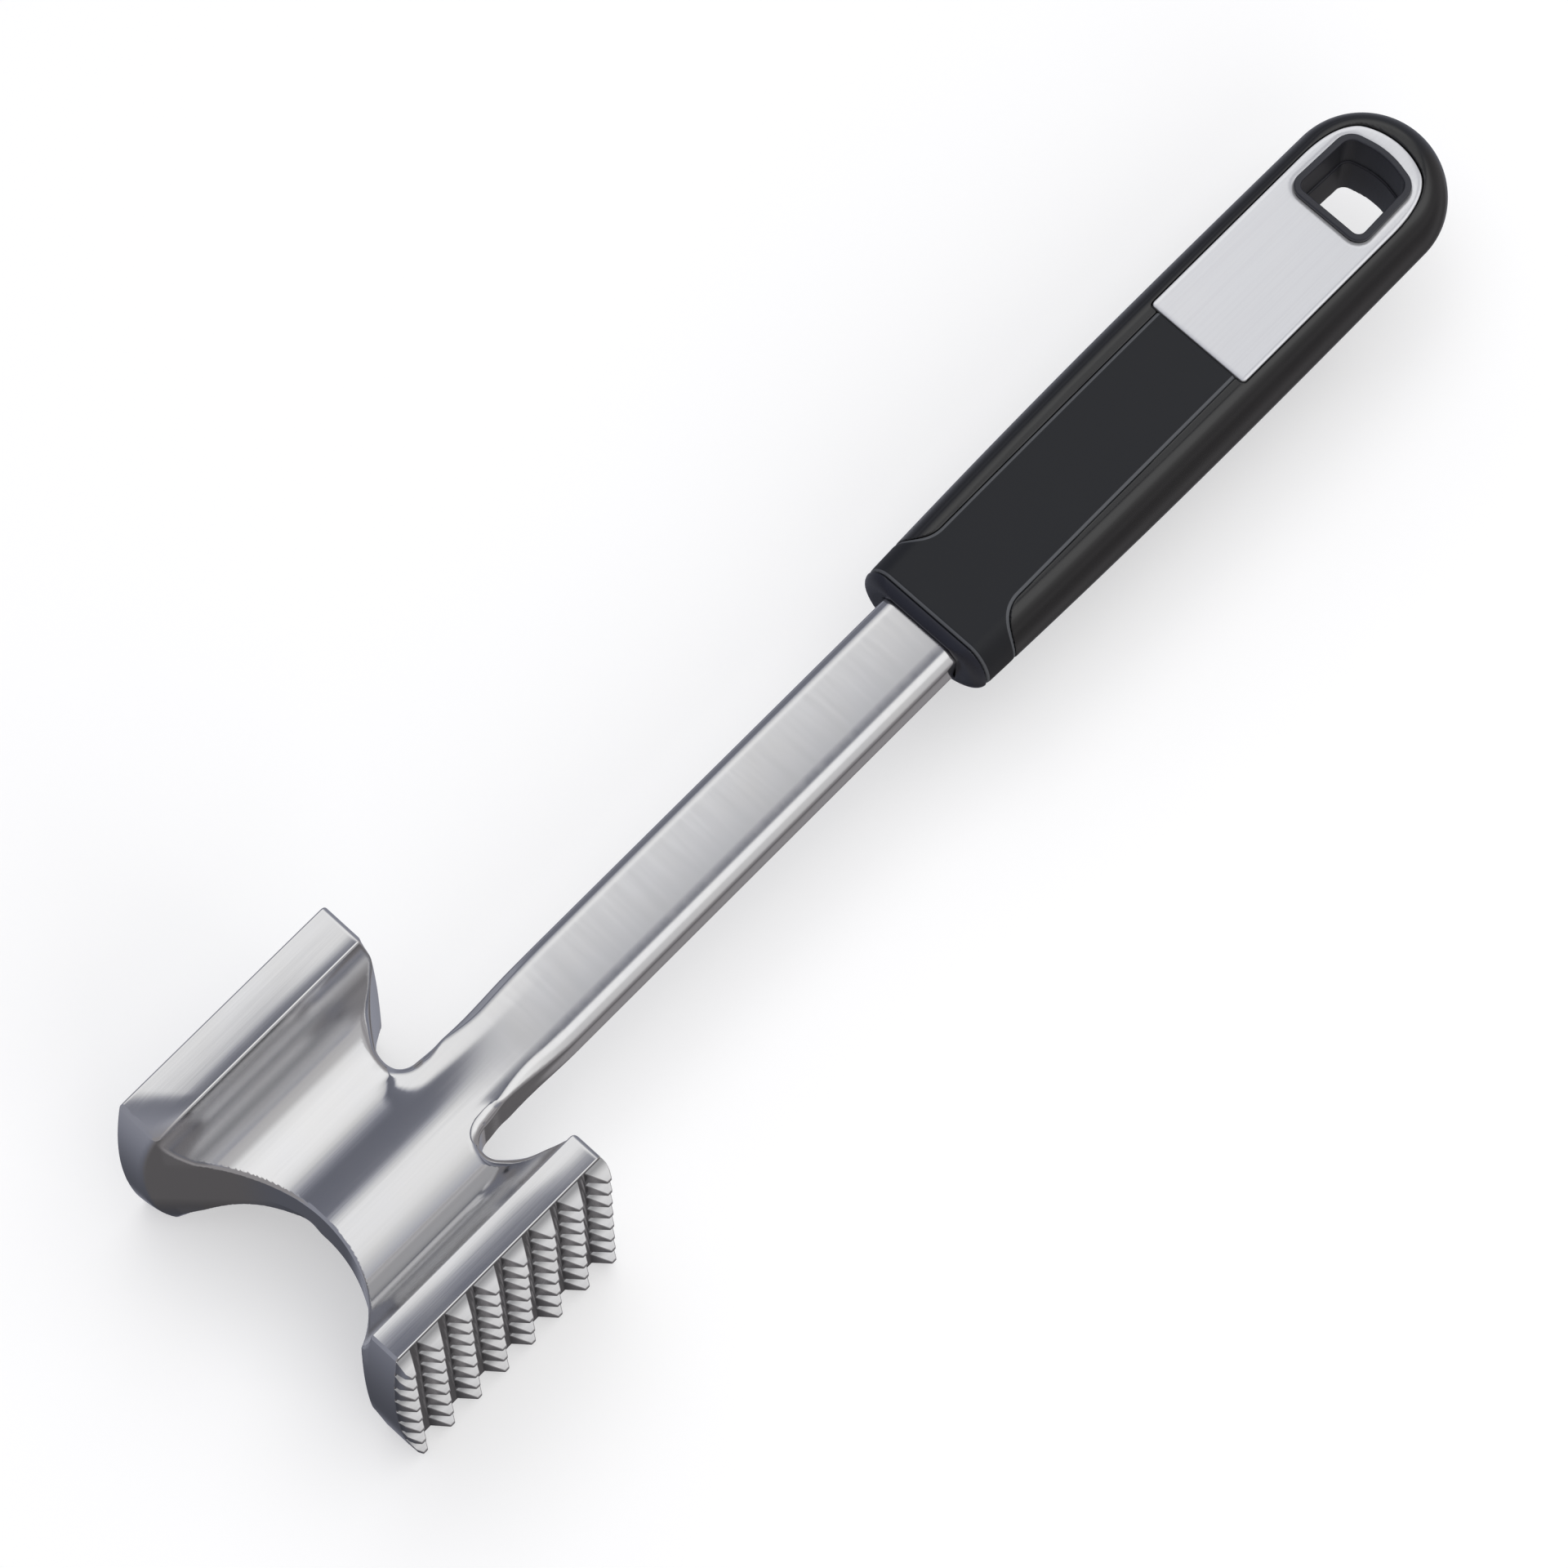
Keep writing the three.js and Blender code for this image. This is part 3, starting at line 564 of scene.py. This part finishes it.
def handle_inset(x, y):
    t = (WIDEST_X - x) / (WIDEST_X - HANDLE_FRONT_X)
    u = (x - WIDEST_X) / (BUTT_CENTRE_X - WIDEST_X)
    width = np.where(x < WIDEST_X, WIDEST_HALF - (WIDEST_HALF - FRONT_HALF) * t ** 2,
                     WIDEST_HALF - (WIDEST_HALF - BUTT_RADIUS) * u ** 2)
    butt = BUTT_RADIUS - np.hypot(x - BUTT_CENTRE_X, y)
    return np.where(x < BUTT_CENTRE_X, width - np.abs(y), butt)


def envelope_distance(x, y, z):
    t = np.clip((FULL_DEPTH_X - x) / (FULL_DEPTH_X - HANDLE_FRONT_X), 0, 1.2)
    depth = HANDLE_HALF_DEPTH - (HANDLE_HALF_DEPTH - FRONT_HALF_DEPTH) * t ** 2
    return rounded_section(handle_inset(x, y), z, depth, EDGE_ROUND)


def core_plan(x, y):
    ay = np.abs(y)
    web = np.where(x < WEB_END_X, ay, np.hypot(x - WEB_END_X, y)) - WEB_HALF
    qx, qy = x - SEAM_FRONT_X - SEAM_CORNER, ay - WEB_HALF - SEAM_CORNER
    fillet = SEAM_CORNER - np.hypot(qx, qy)
    return np.where((qx < 0) & (qy < 0), fillet, np.minimum(web, x - SEAM_FRONT_X))


def plate_plan(x, y):
    along = np.maximum(x - PLATE_END_X + PLATE_ARC_RADIUS, 0)
    arc = np.hypot(along, y) - PLATE_ARC_RADIUS
    sides = round_and(np.abs(y) - PLATE_HALF, arc, PLATE_CORNER)
    return round_and(sides, PLATE_FRONT_X - x, PLATE_FRONT_CORNER)


def plate_seat(x, y, z):
    return np.maximum(plate_plan(x, y) - GAP, PLATE_TOP_Z - PLATE_THICKNESS - GAP - z)


def core_distance(x, y, z):
    body = envelope_distance(x, y, z)
    plan = core_plan(x, y)
    # Shallow bevels carry the light lines, whose lighter colour is a painted highlight.
    seam = (body + SEAM_SLOPE * (plan + SEAM_LINE)) / math.hypot(1, SEAM_SLOPE)
    front = HANDLE_FRONT_X - x
    rim = (body + RIM_SLOPE * (front + RIM_LINE)) / math.hypot(1, RIM_SLOPE)
    core = soft_and(soft_and(body, seam, 0.12), soft_and(plan, front, 0.1), 0.15)
    core = soft_and(core, rim, 0.12)
    socket = np.maximum(bar_distance(y, z, *SOCKET_HALF, SLEEVE_BEVEL), x - SHANK_END_X - GAP)
    core = np.maximum(core, -socket)
    tang = bar_distance(y, z, TANG_HALF[0] + GAP, TANG_HALF[1] + GAP, TANG_BEVEL)
    core = np.maximum(core, -np.maximum(tang, x - TANG_END_X - GAP))
    core = soft_and(core, -plate_seat(x, y, z), 0.2)
    return np.maximum(core, LINER_WALL + GAP - hole_distance(x, y))


def grip_distance(x, y, z):
    body = envelope_distance(x, y, z)
    grip = round_and(body, SEAM_GAP - core_plan(x, y), 0.2)
    return round_and(grip, -plate_seat(x, y, z), 0.25)


def collar_distance(x, y, z):
    back = HANDLE_FRONT_X - GAP
    length = back - COLLAR_FRONT_X
    c = np.clip((back - x) / length, 0, 1)
    swell = np.sqrt(1 - c * c)
    tip_width, tip_depth = COLLAR_NOSE_HALF
    half_width = tip_width + (FRONT_HALF - tip_width) * swell
    half_depth = tip_depth + (FRONT_HALF_DEPTH - tip_depth) * swell
    nose = rounded_section(half_width - np.abs(y), z, half_depth, EDGE_ROUND)
    nose = np.maximum(nose, np.maximum(COLLAR_FRONT_X - x, x - back))
    sleeve = np.maximum(bar_distance(y, z, *SLEEVE_HALF, SLEEVE_BEVEL),
                        np.maximum(back - 1 - x, x - SLEEVE_END_X))
    bore = bar_distance(y, z, SHANK_HALF_WIDTH + GAP, SHANK_HALF_DEPTH + GAP, SHANK_BEVEL)
    return soft_and(np.minimum(nose, sleeve), -bore, 0.5)


def plate_distance(x, y, z):
    edge = plate_plan(x, y)
    hole = LINER_WALL + GAP - hole_distance(x, y)
    roll = 0.12 * np.clip(1 + edge / 0.9, 0, 1) ** 2 + 0.14 * np.clip(1 + hole / 1.2, 0, 1) ** 2
    top = z - PLATE_TOP_Z + roll
    sheet = round_and(round_and(top, edge, 0.18), hole, 0.15)
    return np.maximum(sheet, PLATE_TOP_Z - PLATE_THICKNESS - z)


def liner_distance(x, y, z):
    hole = hole_distance(x, y)
    barrel = np.maximum(hole - LINER_WALL,
                        np.maximum(-HANDLE_HALF_DEPTH - z, z - LIP_TOP_Z))
    lip = round_and(hole - LIP_WIDTH, z - LIP_TOP_Z, LIP_EDGE)
    lip = np.maximum(lip, PLATE_TOP_Z + GAP - z)
    # The hole is a little narrower below a ledge.
    ledge = LEDGE * smoothstep(0.15, -0.15, z - LEDGE_Z)
    return round_and(np.minimum(barrel, lip), -hole - ledge, LIP_EDGE)


# --- Materials -----------------------------------------------------------------------


class Nodes:
    """Short calls for building a node tree."""

    def __init__(self, tree):
        self.tree = tree
        tree.nodes.clear()

    def node(self, kind, **inputs):
        n = self.tree.nodes.new(kind)
        for key, value in inputs.items():
            setattr(n, key, value)
        return n

    def link(self, out, into):
        self.tree.links.new(out, into)

    def put(self, socket, value):
        if isinstance(value, bpy.types.NodeSocket):
            self.link(value, socket)
        else:
            socket.default_value = value

    def math(self, op, *args, clamp=False):
        n = self.node("ShaderNodeMath", operation=op, use_clamp=clamp)
        for socket, value in zip(n.inputs, args):
            self.put(socket, value)
        return n.outputs[0]

    def vector(self, op, *args):
        n = self.node("ShaderNodeVectorMath", operation=op)
        for socket, value in zip(n.inputs, args):
            self.put(socket, value)
        return n.outputs["Vector"]

    def step(self, value, low, high, to_low=0.0, to_high=1.0):
        n = self.node("ShaderNodeMapRange", interpolation_type="SMOOTHSTEP")
        self.put(n.inputs[0], value)
        for socket, v in zip(n.inputs[1:5], (low, high, to_low, to_high)):
            self.put(socket, v)
        return n.outputs[0]

    def mix(self, share, a, b):
        n = self.node("ShaderNodeMix", data_type="RGBA")
        self.put(n.inputs[0], share)
        self.put(n.inputs[6], a)
        self.put(n.inputs[7], b)
        return n.outputs[2]

    def noise(self, vector, scale, detail=3.0, rough=0.55):
        n = self.node("ShaderNodeTexNoise")
        self.put(n.inputs["Vector"], vector)
        n.inputs["Scale"].default_value = scale
        n.inputs["Detail"].default_value = detail
        n.inputs["Roughness"].default_value = rough
        return n.outputs[0]

    def place(self):
        """Position in working millimetres, and its three parts."""
        where = self.node("ShaderNodeTexCoord").outputs["Object"]
        moved = self.vector("SUBTRACT", where, (0, AXIS_Y, 0))
        n = self.node("ShaderNodeVectorMath", operation="SCALE")
        self.put(n.inputs[0], moved)
        n.inputs["Scale"].default_value = 1 / MM
        mm = n.outputs["Vector"]
        split = self.node("ShaderNodeSeparateXYZ")
        self.link(mm, split.inputs[0])
        return mm, split.outputs[0], split.outputs[1], split.outputs[2]

    def stretch(self, mm, sx, sy, sz):
        return self.vector("MULTIPLY", mm, (sx, sy, sz))


def rgba(*c):
    return (*c, 1.0)


def finish_material(nodes, colour, roughness, metallic, height=None, depth=0.0, **extra):
    """Ends a material; height is a bump pattern, and depth its size in mm."""
    shader = nodes.node("ShaderNodeBsdfPrincipled")
    nodes.put(shader.inputs["Base Color"], colour)
    nodes.put(shader.inputs["Roughness"], roughness)
    nodes.put(shader.inputs["Metallic"], metallic)
    for key, value in extra.items():
        nodes.put(shader.inputs[key.replace("_", " ")], value)
    if height is not None:
        bump = nodes.node("ShaderNodeBump")
        bump.inputs["Distance"].default_value = depth * MM
        nodes.put(bump.inputs["Height"], height)
        nodes.link(bump.outputs[0], shader.inputs["Normal"])
    out = nodes.node("ShaderNodeOutputMaterial")
    nodes.link(shader.outputs[0], out.inputs[0])


def new_material(name):
    material = bpy.data.materials.new(name)
    material.use_nodes = True
    return material, Nodes(material.node_tree)


def metal_material():
    material, n = new_material("cast_metal")
    mm, x, y, z = n.place()
    ay = n.math("ABSOLUTE", y)
    az = n.math("ABSOLUTE", z)
    # Brushed along X on the head, and across the shank.
    shank = n.step(x, 14, 42)
    lengthwise = n.noise(n.stretch(mm, 0.04, 1.6, 1.6), 1.0, 4, 0.6)
    crosswise = n.noise(n.stretch(mm, 0.8, 0.06, 0.8), 1.0, 3, 0.5)
    brushed = n.mix(shank, lengthwise, crosswise)
    cloud = n.noise(mm, 0.09, 2)
    # Satin shares of the flange bands, the shank's front, the coves and the teeth.
    band = n.math("MAXIMUM", n.step(y, 23.4, 24.2), n.step(y, -24.2, -25.0))
    teeth = n.step(y, -30.75, -31.1)
    edge = n.step(ay, 5.0, 6.2)
    facet = n.math("MULTIPLY", shank, n.math("SUBTRACT", 1, n.math("MULTIPLY", edge, 0.6)))
    cove = n.math("MULTIPLY", n.step(az, 9, 14), n.math("SUBTRACT", 1, band))
    satin = n.math("MAXIMUM", n.math("MULTIPLY", band, 0.12), n.math("MULTIPLY", facet, 0.6))
    satin = n.math("MAXIMUM", satin, n.math("MULTIPLY", cove, 0.6))
    satin = n.math("MAXIMUM", satin, n.math("MULTIPLY", teeth, 0.7))
    rough = n.math("ADD", n.math("MULTIPLY", satin, 0.22), 0.07)
    rough = n.math("ADD", rough, n.math("MULTIPLY", n.math("SUBTRACT", brushed, 0.5), 0.08))
    rough = n.math("ADD", rough, n.math("MULTIPLY", n.math("SUBTRACT", cloud, 0.5), 0.05))
    tint = n.mix(cloud, rgba(0.9, 0.905, 0.93), rgba(0.93, 0.92, 0.905))
    tint = n.mix(n.math("MULTIPLY", brushed, 0.14), tint, rgba(0.55, 0.55, 0.56))
    # Darker tint and shallower brushing deep in both coves, but not on the ends.
    deep_cove = n.math("MAXIMUM", n.math("MULTIPLY", n.step(y, -12.4, -15.0), n.step(y, -22.9, -21.8)),
                  n.math("MULTIPLY", n.step(y, 17.8, 19.2), n.step(y, 23.7, 23.3)))
    facing = n.node("ShaderNodeSeparateXYZ")
    n.link(n.node("ShaderNodeNewGeometry").outputs["Normal"], facing.inputs[0])
    deep_cove = n.math("MULTIPLY", deep_cove, n.step(n.math("ABSOLUTE", facing.outputs[0]), 0.5, 0.25))
    tint = n.mix(n.math("MULTIPLY", deep_cove, 0.62), tint, rgba(0.42, 0.42, 0.435))
    # Painted shade between the teeth: the tint is darkened at their roots.
    root = n.math("MULTIPLY", n.step(y, -32.6, -30.8), n.step(y, -30.5, -30.64))
    tint = n.mix(n.math("MULTIPLY", root, 0.75), tint, rgba(0.2, 0.2, 0.21))
    depth = n.math("SUBTRACT", 0.35, n.math("MULTIPLY", shank, 0.15))
    depth = n.math("MULTIPLY", depth, n.math("SUBTRACT", 1, n.math("MULTIPLY", deep_cove, 0.8)))
    depth = n.math("MULTIPLY", brushed, depth)
    finish_material(n, tint, n.math("MAXIMUM", rough, 0.04), 1.0, depth, 0.005)
    return material


def plastic_material(name, dark, light, rough, grain, depth, gloss=0.5):
    material, n = new_material(name)
    mm = n.place()[0]
    fine = n.noise(mm, grain, 3)
    cloud = n.noise(mm, 0.12, 2)
    colour = n.mix(cloud, rgba(*dark), rgba(*light))
    roughness = n.math("ADD", rough, n.math("MULTIPLY", n.math("SUBTRACT", cloud, 0.5), 0.12))
    finish_material(n, colour, roughness, 0.0, fine, depth, Specular_IOR_Level=gloss)
    return material


def core_material():
    material, n = new_material("core_plastic")
    mm, x, y, _ = n.place()
    ay = n.math("ABSOLUTE", y)
    # Distance from the seam in the plane of the front: straight sides, then an arc out.
    qx = n.math("SUBTRACT", x, SEAM_FRONT_X + SEAM_CORNER)
    qy = n.math("SUBTRACT", ay, WEB_HALF + SEAM_CORNER)
    arc = n.math("SUBTRACT", SEAM_CORNER,
                 n.math("SQRT", n.math("ADD", n.math("MULTIPLY", qx, qx),
                                       n.math("MULTIPLY", qy, qy))))
    straight = n.math("SUBTRACT", ay, WEB_HALF)
    block = n.math("SUBTRACT", x, SEAM_FRONT_X)
    flat = n.math("MINIMUM", straight, block)
    in_arc = n.math("MULTIPLY", n.math("LESS_THAN", qx, 0), n.math("LESS_THAN", qy, 0))
    both = n.math("ADD", n.math("MULTIPLY", in_arc, arc),
                  n.math("MULTIPLY", n.math("SUBTRACT", 1, in_arc), flat))
    strip = n.step(both, -SEAM_LINE - 0.05, -SEAM_LINE + 0.05)
    rim = n.step(x, HANDLE_FRONT_X + RIM_LINE + 0.05, HANDLE_FRONT_X + RIM_LINE - 0.05)
    painted_highlight_line = n.math("MAXIMUM", strip, rim)
    fine = n.noise(mm, 3.2, 3)
    cloud = n.noise(mm, 0.12, 2)
    colour = n.mix(cloud, rgba(0.007, 0.008, 0.0105), rgba(0.0105, 0.0115, 0.014))
    # Lighter colour along the seam and the front rim: a painted highlight on their bevels.
    colour = n.mix(painted_highlight_line, colour, rgba(0.082, 0.086, 0.094))
    roughness = n.math("ADD", 0.5, n.math("MULTIPLY", n.math("SUBTRACT", cloud, 0.5), 0.12))
    finish_material(n, colour, roughness, 0.0, fine, 0.004)
    return material


def plate_material():
    material, n = new_material("plate_steel")
    mm = n.place()[0]
    brushed = n.noise(n.stretch(mm, 0.03, 2.2, 2.2), 1.0, 3, 0.6)
    cloud = n.noise(mm, 0.1, 2)
    tint = n.mix(cloud, rgba(0.85, 0.86, 0.885), rgba(0.88, 0.88, 0.895))
    tint = n.mix(n.step(brushed, 0.35, 0.75, 0.0, 0.1), tint, rgba(0.55, 0.55, 0.57))
    rough = n.math("ADD", 0.22, n.math("MULTIPLY", n.math("SUBTRACT", brushed, 0.5), 0.08))
    finish_material(n, tint, rough, 0.6, brushed, 0.0005)
    return material


# --- Build the pieces ----------------------------------------------------------------

# Grid runs are (start, end, step) in mm, finer where a shape turns tightly.
metal = metal_material()
head_x = axis((-27.2, -21, 0.42), (-21, -9, 0.36), (-9, 9, 0.75), (9, 27.4, 0.36),
              (27.4, 40, 0.9), (40, 60, 1.3), (60, 139, 3.0), (139, 142, 0.6), (142, 162, 3.0),
              (162, 174, 1.1), (174, 198, 3.0), (198, 210, 1.1), (210, 226, 3.0),
              (226, 229, 0.5))
head_y = axis((-31.6, -29.8, 0.2), (-29.8, -25.4, 0.55), (-25.4, -23.8, 0.2),
              (-23.8, -10, 0.5), (-10, -5, 0.25), (-5, 5, 0.5), (5, 10, 0.25), (10, 22.8, 0.5),
              (22.8, 24.6, 0.2), (24.6, 30.8, 0.6), (30.8, 33, 0.22))
head_z = axis((-27, -24, 0.3), (-24, -9.6, 0.7), (-9.6, -7, 0.5), (-7, 7, 0.3), (7, 9.6, 0.5),
              (9.6, 24, 0.65), (24, 27, 0.25))
p, faces, normals = surface(head_distance, head_x, head_y, head_z)
faces, front_loop = merge_flat(p, faces, SMOOTH_FACE_Y)
faces, root_loop = merge_flat(p, faces, TOOTH_ROOT_Y)
normals[front_loop] = (0, 1, 0)
normals[root_loop] = (0, -1, 0)
teeth, tooth_faces = tooth_mesh()
tooth_normals = area_normals(teeth, tooth_faces)
shift = len(p)
all_faces = faces.tolist() + [front_loop, root_loop]
all_faces += [[i + shift for i in f] for f in tooth_faces]
p = np.vstack([p, teeth])
normals = np.vstack([normals, tooth_normals])
used = np.zeros(len(p), bool)
used[[i for f in all_faces for i in f]] = True
number = np.cumsum(used) - 1
all_faces = [[int(number[i]) for i in f] for f in all_faces]
piece("head_and_shank", p[used], all_faces, normals[used], metal)

core_x = axis((135.9, 150.4, 0.35), (150.4, 203, 0.9), (203, 257, 0.5))
core_y = axis((-15.8, -9.8, 0.4), (-9.8, -7.8, 0.2), (-7.8, 7.8, 0.6), (7.8, 9.8, 0.2),
              (9.8, 15.8, 0.4))
core_z = axis((-9.4, -5, 0.3), (-5, 5, 0.5), (5, 9.4, 0.3))
p, faces, normals = surface(core_distance, core_x, core_y, core_z)
piece("handle_core", p, faces, normals, core_material())

grip_x = axis((142.4, 152, 0.4), (152, 203, 0.9), (203, 264.4, 0.5))
grip_y = axis((-16, -11.5, 0.35), (-11.5, -8.4, 0.22), (-8.4, 8.4, 0.6), (8.4, 11.5, 0.22),
              (11.5, 16, 0.35))
p, faces, normals = surface(grip_distance, grip_x, grip_y, core_z)
rubber = plastic_material("grip_rubber", (0.002, 0.002, 0.002), (0.0035, 0.0035, 0.0033),
                          rough=0.23, grain=4.0, depth=0.002, gloss=1.0)
piece("soft_grip", p, faces, normals, rubber)

collar_x = axis((132.6, 137.4, 0.2), (137.4, 141.2, 0.3))
collar_y = axis((-15.2, 15.2, 0.3))
collar_z = axis((-8.4, 8.4, 0.3))
p, faces, normals = surface(collar_distance, collar_x, collar_y, collar_z)
glossy = plastic_material("collar_plastic", (0.012, 0.013, 0.02), (0.016, 0.017, 0.026),
                          rough=0.25, grain=2.0, depth=0.004)
piece("front_collar", p, faces, normals, glossy)

plate_x = axis((203.6, 205.8, 0.2), (205.8, 236, 0.8), (236, 257.6, 0.3))
plate_y = axis((-11.6, -8.8, 0.2), (-8.8, 8.8, 0.35), (8.8, 11.6, 0.2))
plate_z = axis((7.7, 9.3, 0.13))
p, faces, normals = surface(plate_distance, plate_x, plate_y, plate_z)
piece("inlay_plate", p, faces, normals, plate_material())

liner_x = axis((236.3, 255.2, 0.22))
liner_y = axis((-9.2, 9.2, 0.22))
liner_z = axis((-9.4, 0.9, 0.6), (0.9, 2.1, 0.2), (2.1, 8.7, 0.6), (8.7, 10.5, 0.15))
p, faces, normals = surface(liner_distance, liner_x, liner_y, liner_z)
satin = plastic_material("liner_plastic", (0.026, 0.027, 0.034), (0.032, 0.033, 0.04),
                         rough=0.38, grain=3.0, depth=0.003)
piece("hang_hole_liner", p, faces, normals, satin)

# --- Floor, light and camera ---------------------------------------------------------

MIDDLE_X = 0.1            # metres from here on
FLOOR_DROP = 0.0004
floor_z = cad_low.z - FLOOR_DROP
bpy.ops.mesh.primitive_plane_add(size=12, location=(MIDDLE_X, AXIS_Y, floor_z))
floor = bpy.context.object
floor.name = "floor"
floor.visible_glossy = False
floor_material, n = new_material("floor_paint")
mm = n.place()[0]
shade = n.mix(n.noise(mm, 0.004, 2), rgba(0.62, 0.62, 0.62), rgba(0.65, 0.65, 0.65))
finish_material(n, shade, 0.9, 0.0, Emission_Color=rgba(1, 1, 1), Emission_Strength=0.42)
floor.data.materials.append(floor_material)

# Studio surroundings: brightness by the angle in degrees round the shank, from +Y up
# over to -Y. The angles run once round from SKY_START.
SKY_START = -100
SKY = [(-100, 0.25), (-68, 0.3), (-56, 0.34), (-46, 0.3), (-38, 0.25), (-18, 0.19),
       (-6, 0.15), (2, 0.28), (9, 0.33), (13, 0.16), (18, 0.16), (23, 0.33),
       (29, 0.46), (35, 0.54), (41, 0.63), (50, 0.77), (60, 0.82), (76.2, 0.84),
       (78.6, 0.17), (85.2, 0.14), (87.2, 0.55), (91, 0.68), (96, 0.8), (104, 0.88),
       (128, 0.9), (143, 0.8), (150, 0.5), (160, 0.45), (168, 0.33), (178, 0.29),
       (187, 0.35), (198, 0.2), (216, 0.2), (232, 0.28), (243, 0.17), (250, 0.13),
       (260, 0.1)]
world = bpy.data.worlds.new("studio")
bpy.context.scene.world = world
world.use_nodes = True
n = Nodes(world.node_tree)
ray = n.node("ShaderNodeTexCoord").outputs["Generated"]
split = n.node("ShaderNodeSeparateXYZ")
n.link(ray, split.inputs[0])
angle = n.math("ARCTAN2", split.outputs[2], split.outputs[1])
turned = n.math("ADD", n.math("MULTIPLY", angle, 180 / math.pi), 360)
turned = n.math("MODULO", n.math("ADD", turned, -SKY_START), 360)
ramp = n.node("ShaderNodeFloatCurve")
curve = ramp.mapping.curves[0]
curve.points[0].location = (0, SKY[0][1])
curve.points[1].location = (1, SKY[-1][1])
for a, v in SKY[1:-1]:
    curve.points.new((a - SKY_START) / 360, v)
for point in curve.points:
    point.handle_type = "VECTOR"
ramp.mapping.update()
n.link(n.math("DIVIDE", turned, 360), ramp.inputs["Value"])
# Towards either end of the shank the surroundings are dusky, and darker straight down. The
# camera itself sees plain grey.
side = n.math("MULTIPLY", n.step(split.outputs[0], -0.06, 0.17),
              n.step(split.outputs[0], 0.95, 0.6))
below = n.step(split.outputs[2], -1.02, -0.78, 0.05, 0.27)
glow = n.math("ADD", n.math("MULTIPLY", n.math("SUBTRACT", ramp.outputs[0], below), side), below)
dusk = n.mix(n.step(split.outputs[1], -0.1, 0.1), rgba(1.0, 0.955, 0.99), rgba(0.9, 0.935, 1.13))
tone = n.mix(n.step(glow, 0.1, 0.7), dusk, rgba(0.995, 0.995, 1.0))
seen = n.node("ShaderNodeLightPath")
lit = n.node("ShaderNodeBackground")
n.link(tone, lit.inputs[0])
n.link(glow, lit.inputs[1])
plain = n.node("ShaderNodeBackground")
plain.inputs[0].default_value = rgba(0.93, 0.93, 0.93)
choose = n.node("ShaderNodeMixShader")
n.link(seen.outputs["Is Camera Ray"], choose.inputs[0])
n.link(lit.outputs[0], choose.inputs[1])
n.link(plain.outputs[0], choose.inputs[2])
out = n.node("ShaderNodeOutputWorld")
n.link(choose.outputs[0], out.inputs[0])


def soft_light(name, where, size, watts):
    data = bpy.data.lights.new(name, "AREA")
    data.shape = "DISK"
    data.size = size
    data.energy = watts
    obj = bpy.data.objects.new(name, data)
    bpy.context.scene.collection.objects.link(obj)
    target = Vector((MIDDLE_X, AXIS_Y, 0))
    obj.location = target + Vector(where)
    obj.rotation_mode = "QUATERNION"
    obj.rotation_quaternion = (target - obj.location).to_track_quat("-Z", "Y")
    obj.visible_glossy = False


soft_light("overhead", (0.2, 0.1, 1.6), size=1.8, watts=14)
soft_light("front", (-0.3, -1.2, 1.0), size=1.2, watts=5)

AZIMUTH, ELEVATION, ROLL = (math.radians(a) for a in (-47.43, 69.59, 0.74))
DISTANCE = 1.2278
LENS = 166.38
target = Vector((0.09899, AXIS_Y - 0.00149, 0))
back = Vector((math.sin(AZIMUTH) * math.cos(ELEVATION),
               -math.cos(AZIMUTH) * math.cos(ELEVATION), math.sin(ELEVATION)))
right = (-back).cross(Vector((0, 0, 1))).normalized()
up = right.cross(-back)
turned_right = right * math.cos(ROLL) + up * math.sin(ROLL)
turned_up = up * math.cos(ROLL) - right * math.sin(ROLL)
camera = bpy.data.objects.new("camera", bpy.data.cameras.new("camera"))
bpy.context.scene.collection.objects.link(camera)
camera.data.sensor_width = 36
camera.data.lens = LENS
camera.data.clip_start = 0.01
camera.data.clip_end = 50
camera.matrix_world = Matrix.Translation(target + back * DISTANCE) @ Matrix(
    (turned_right, turned_up, back)).transposed().to_4x4()
bpy.context.scene.camera = camera
bpy.context.scene.view_settings.view_transform = "Standard"
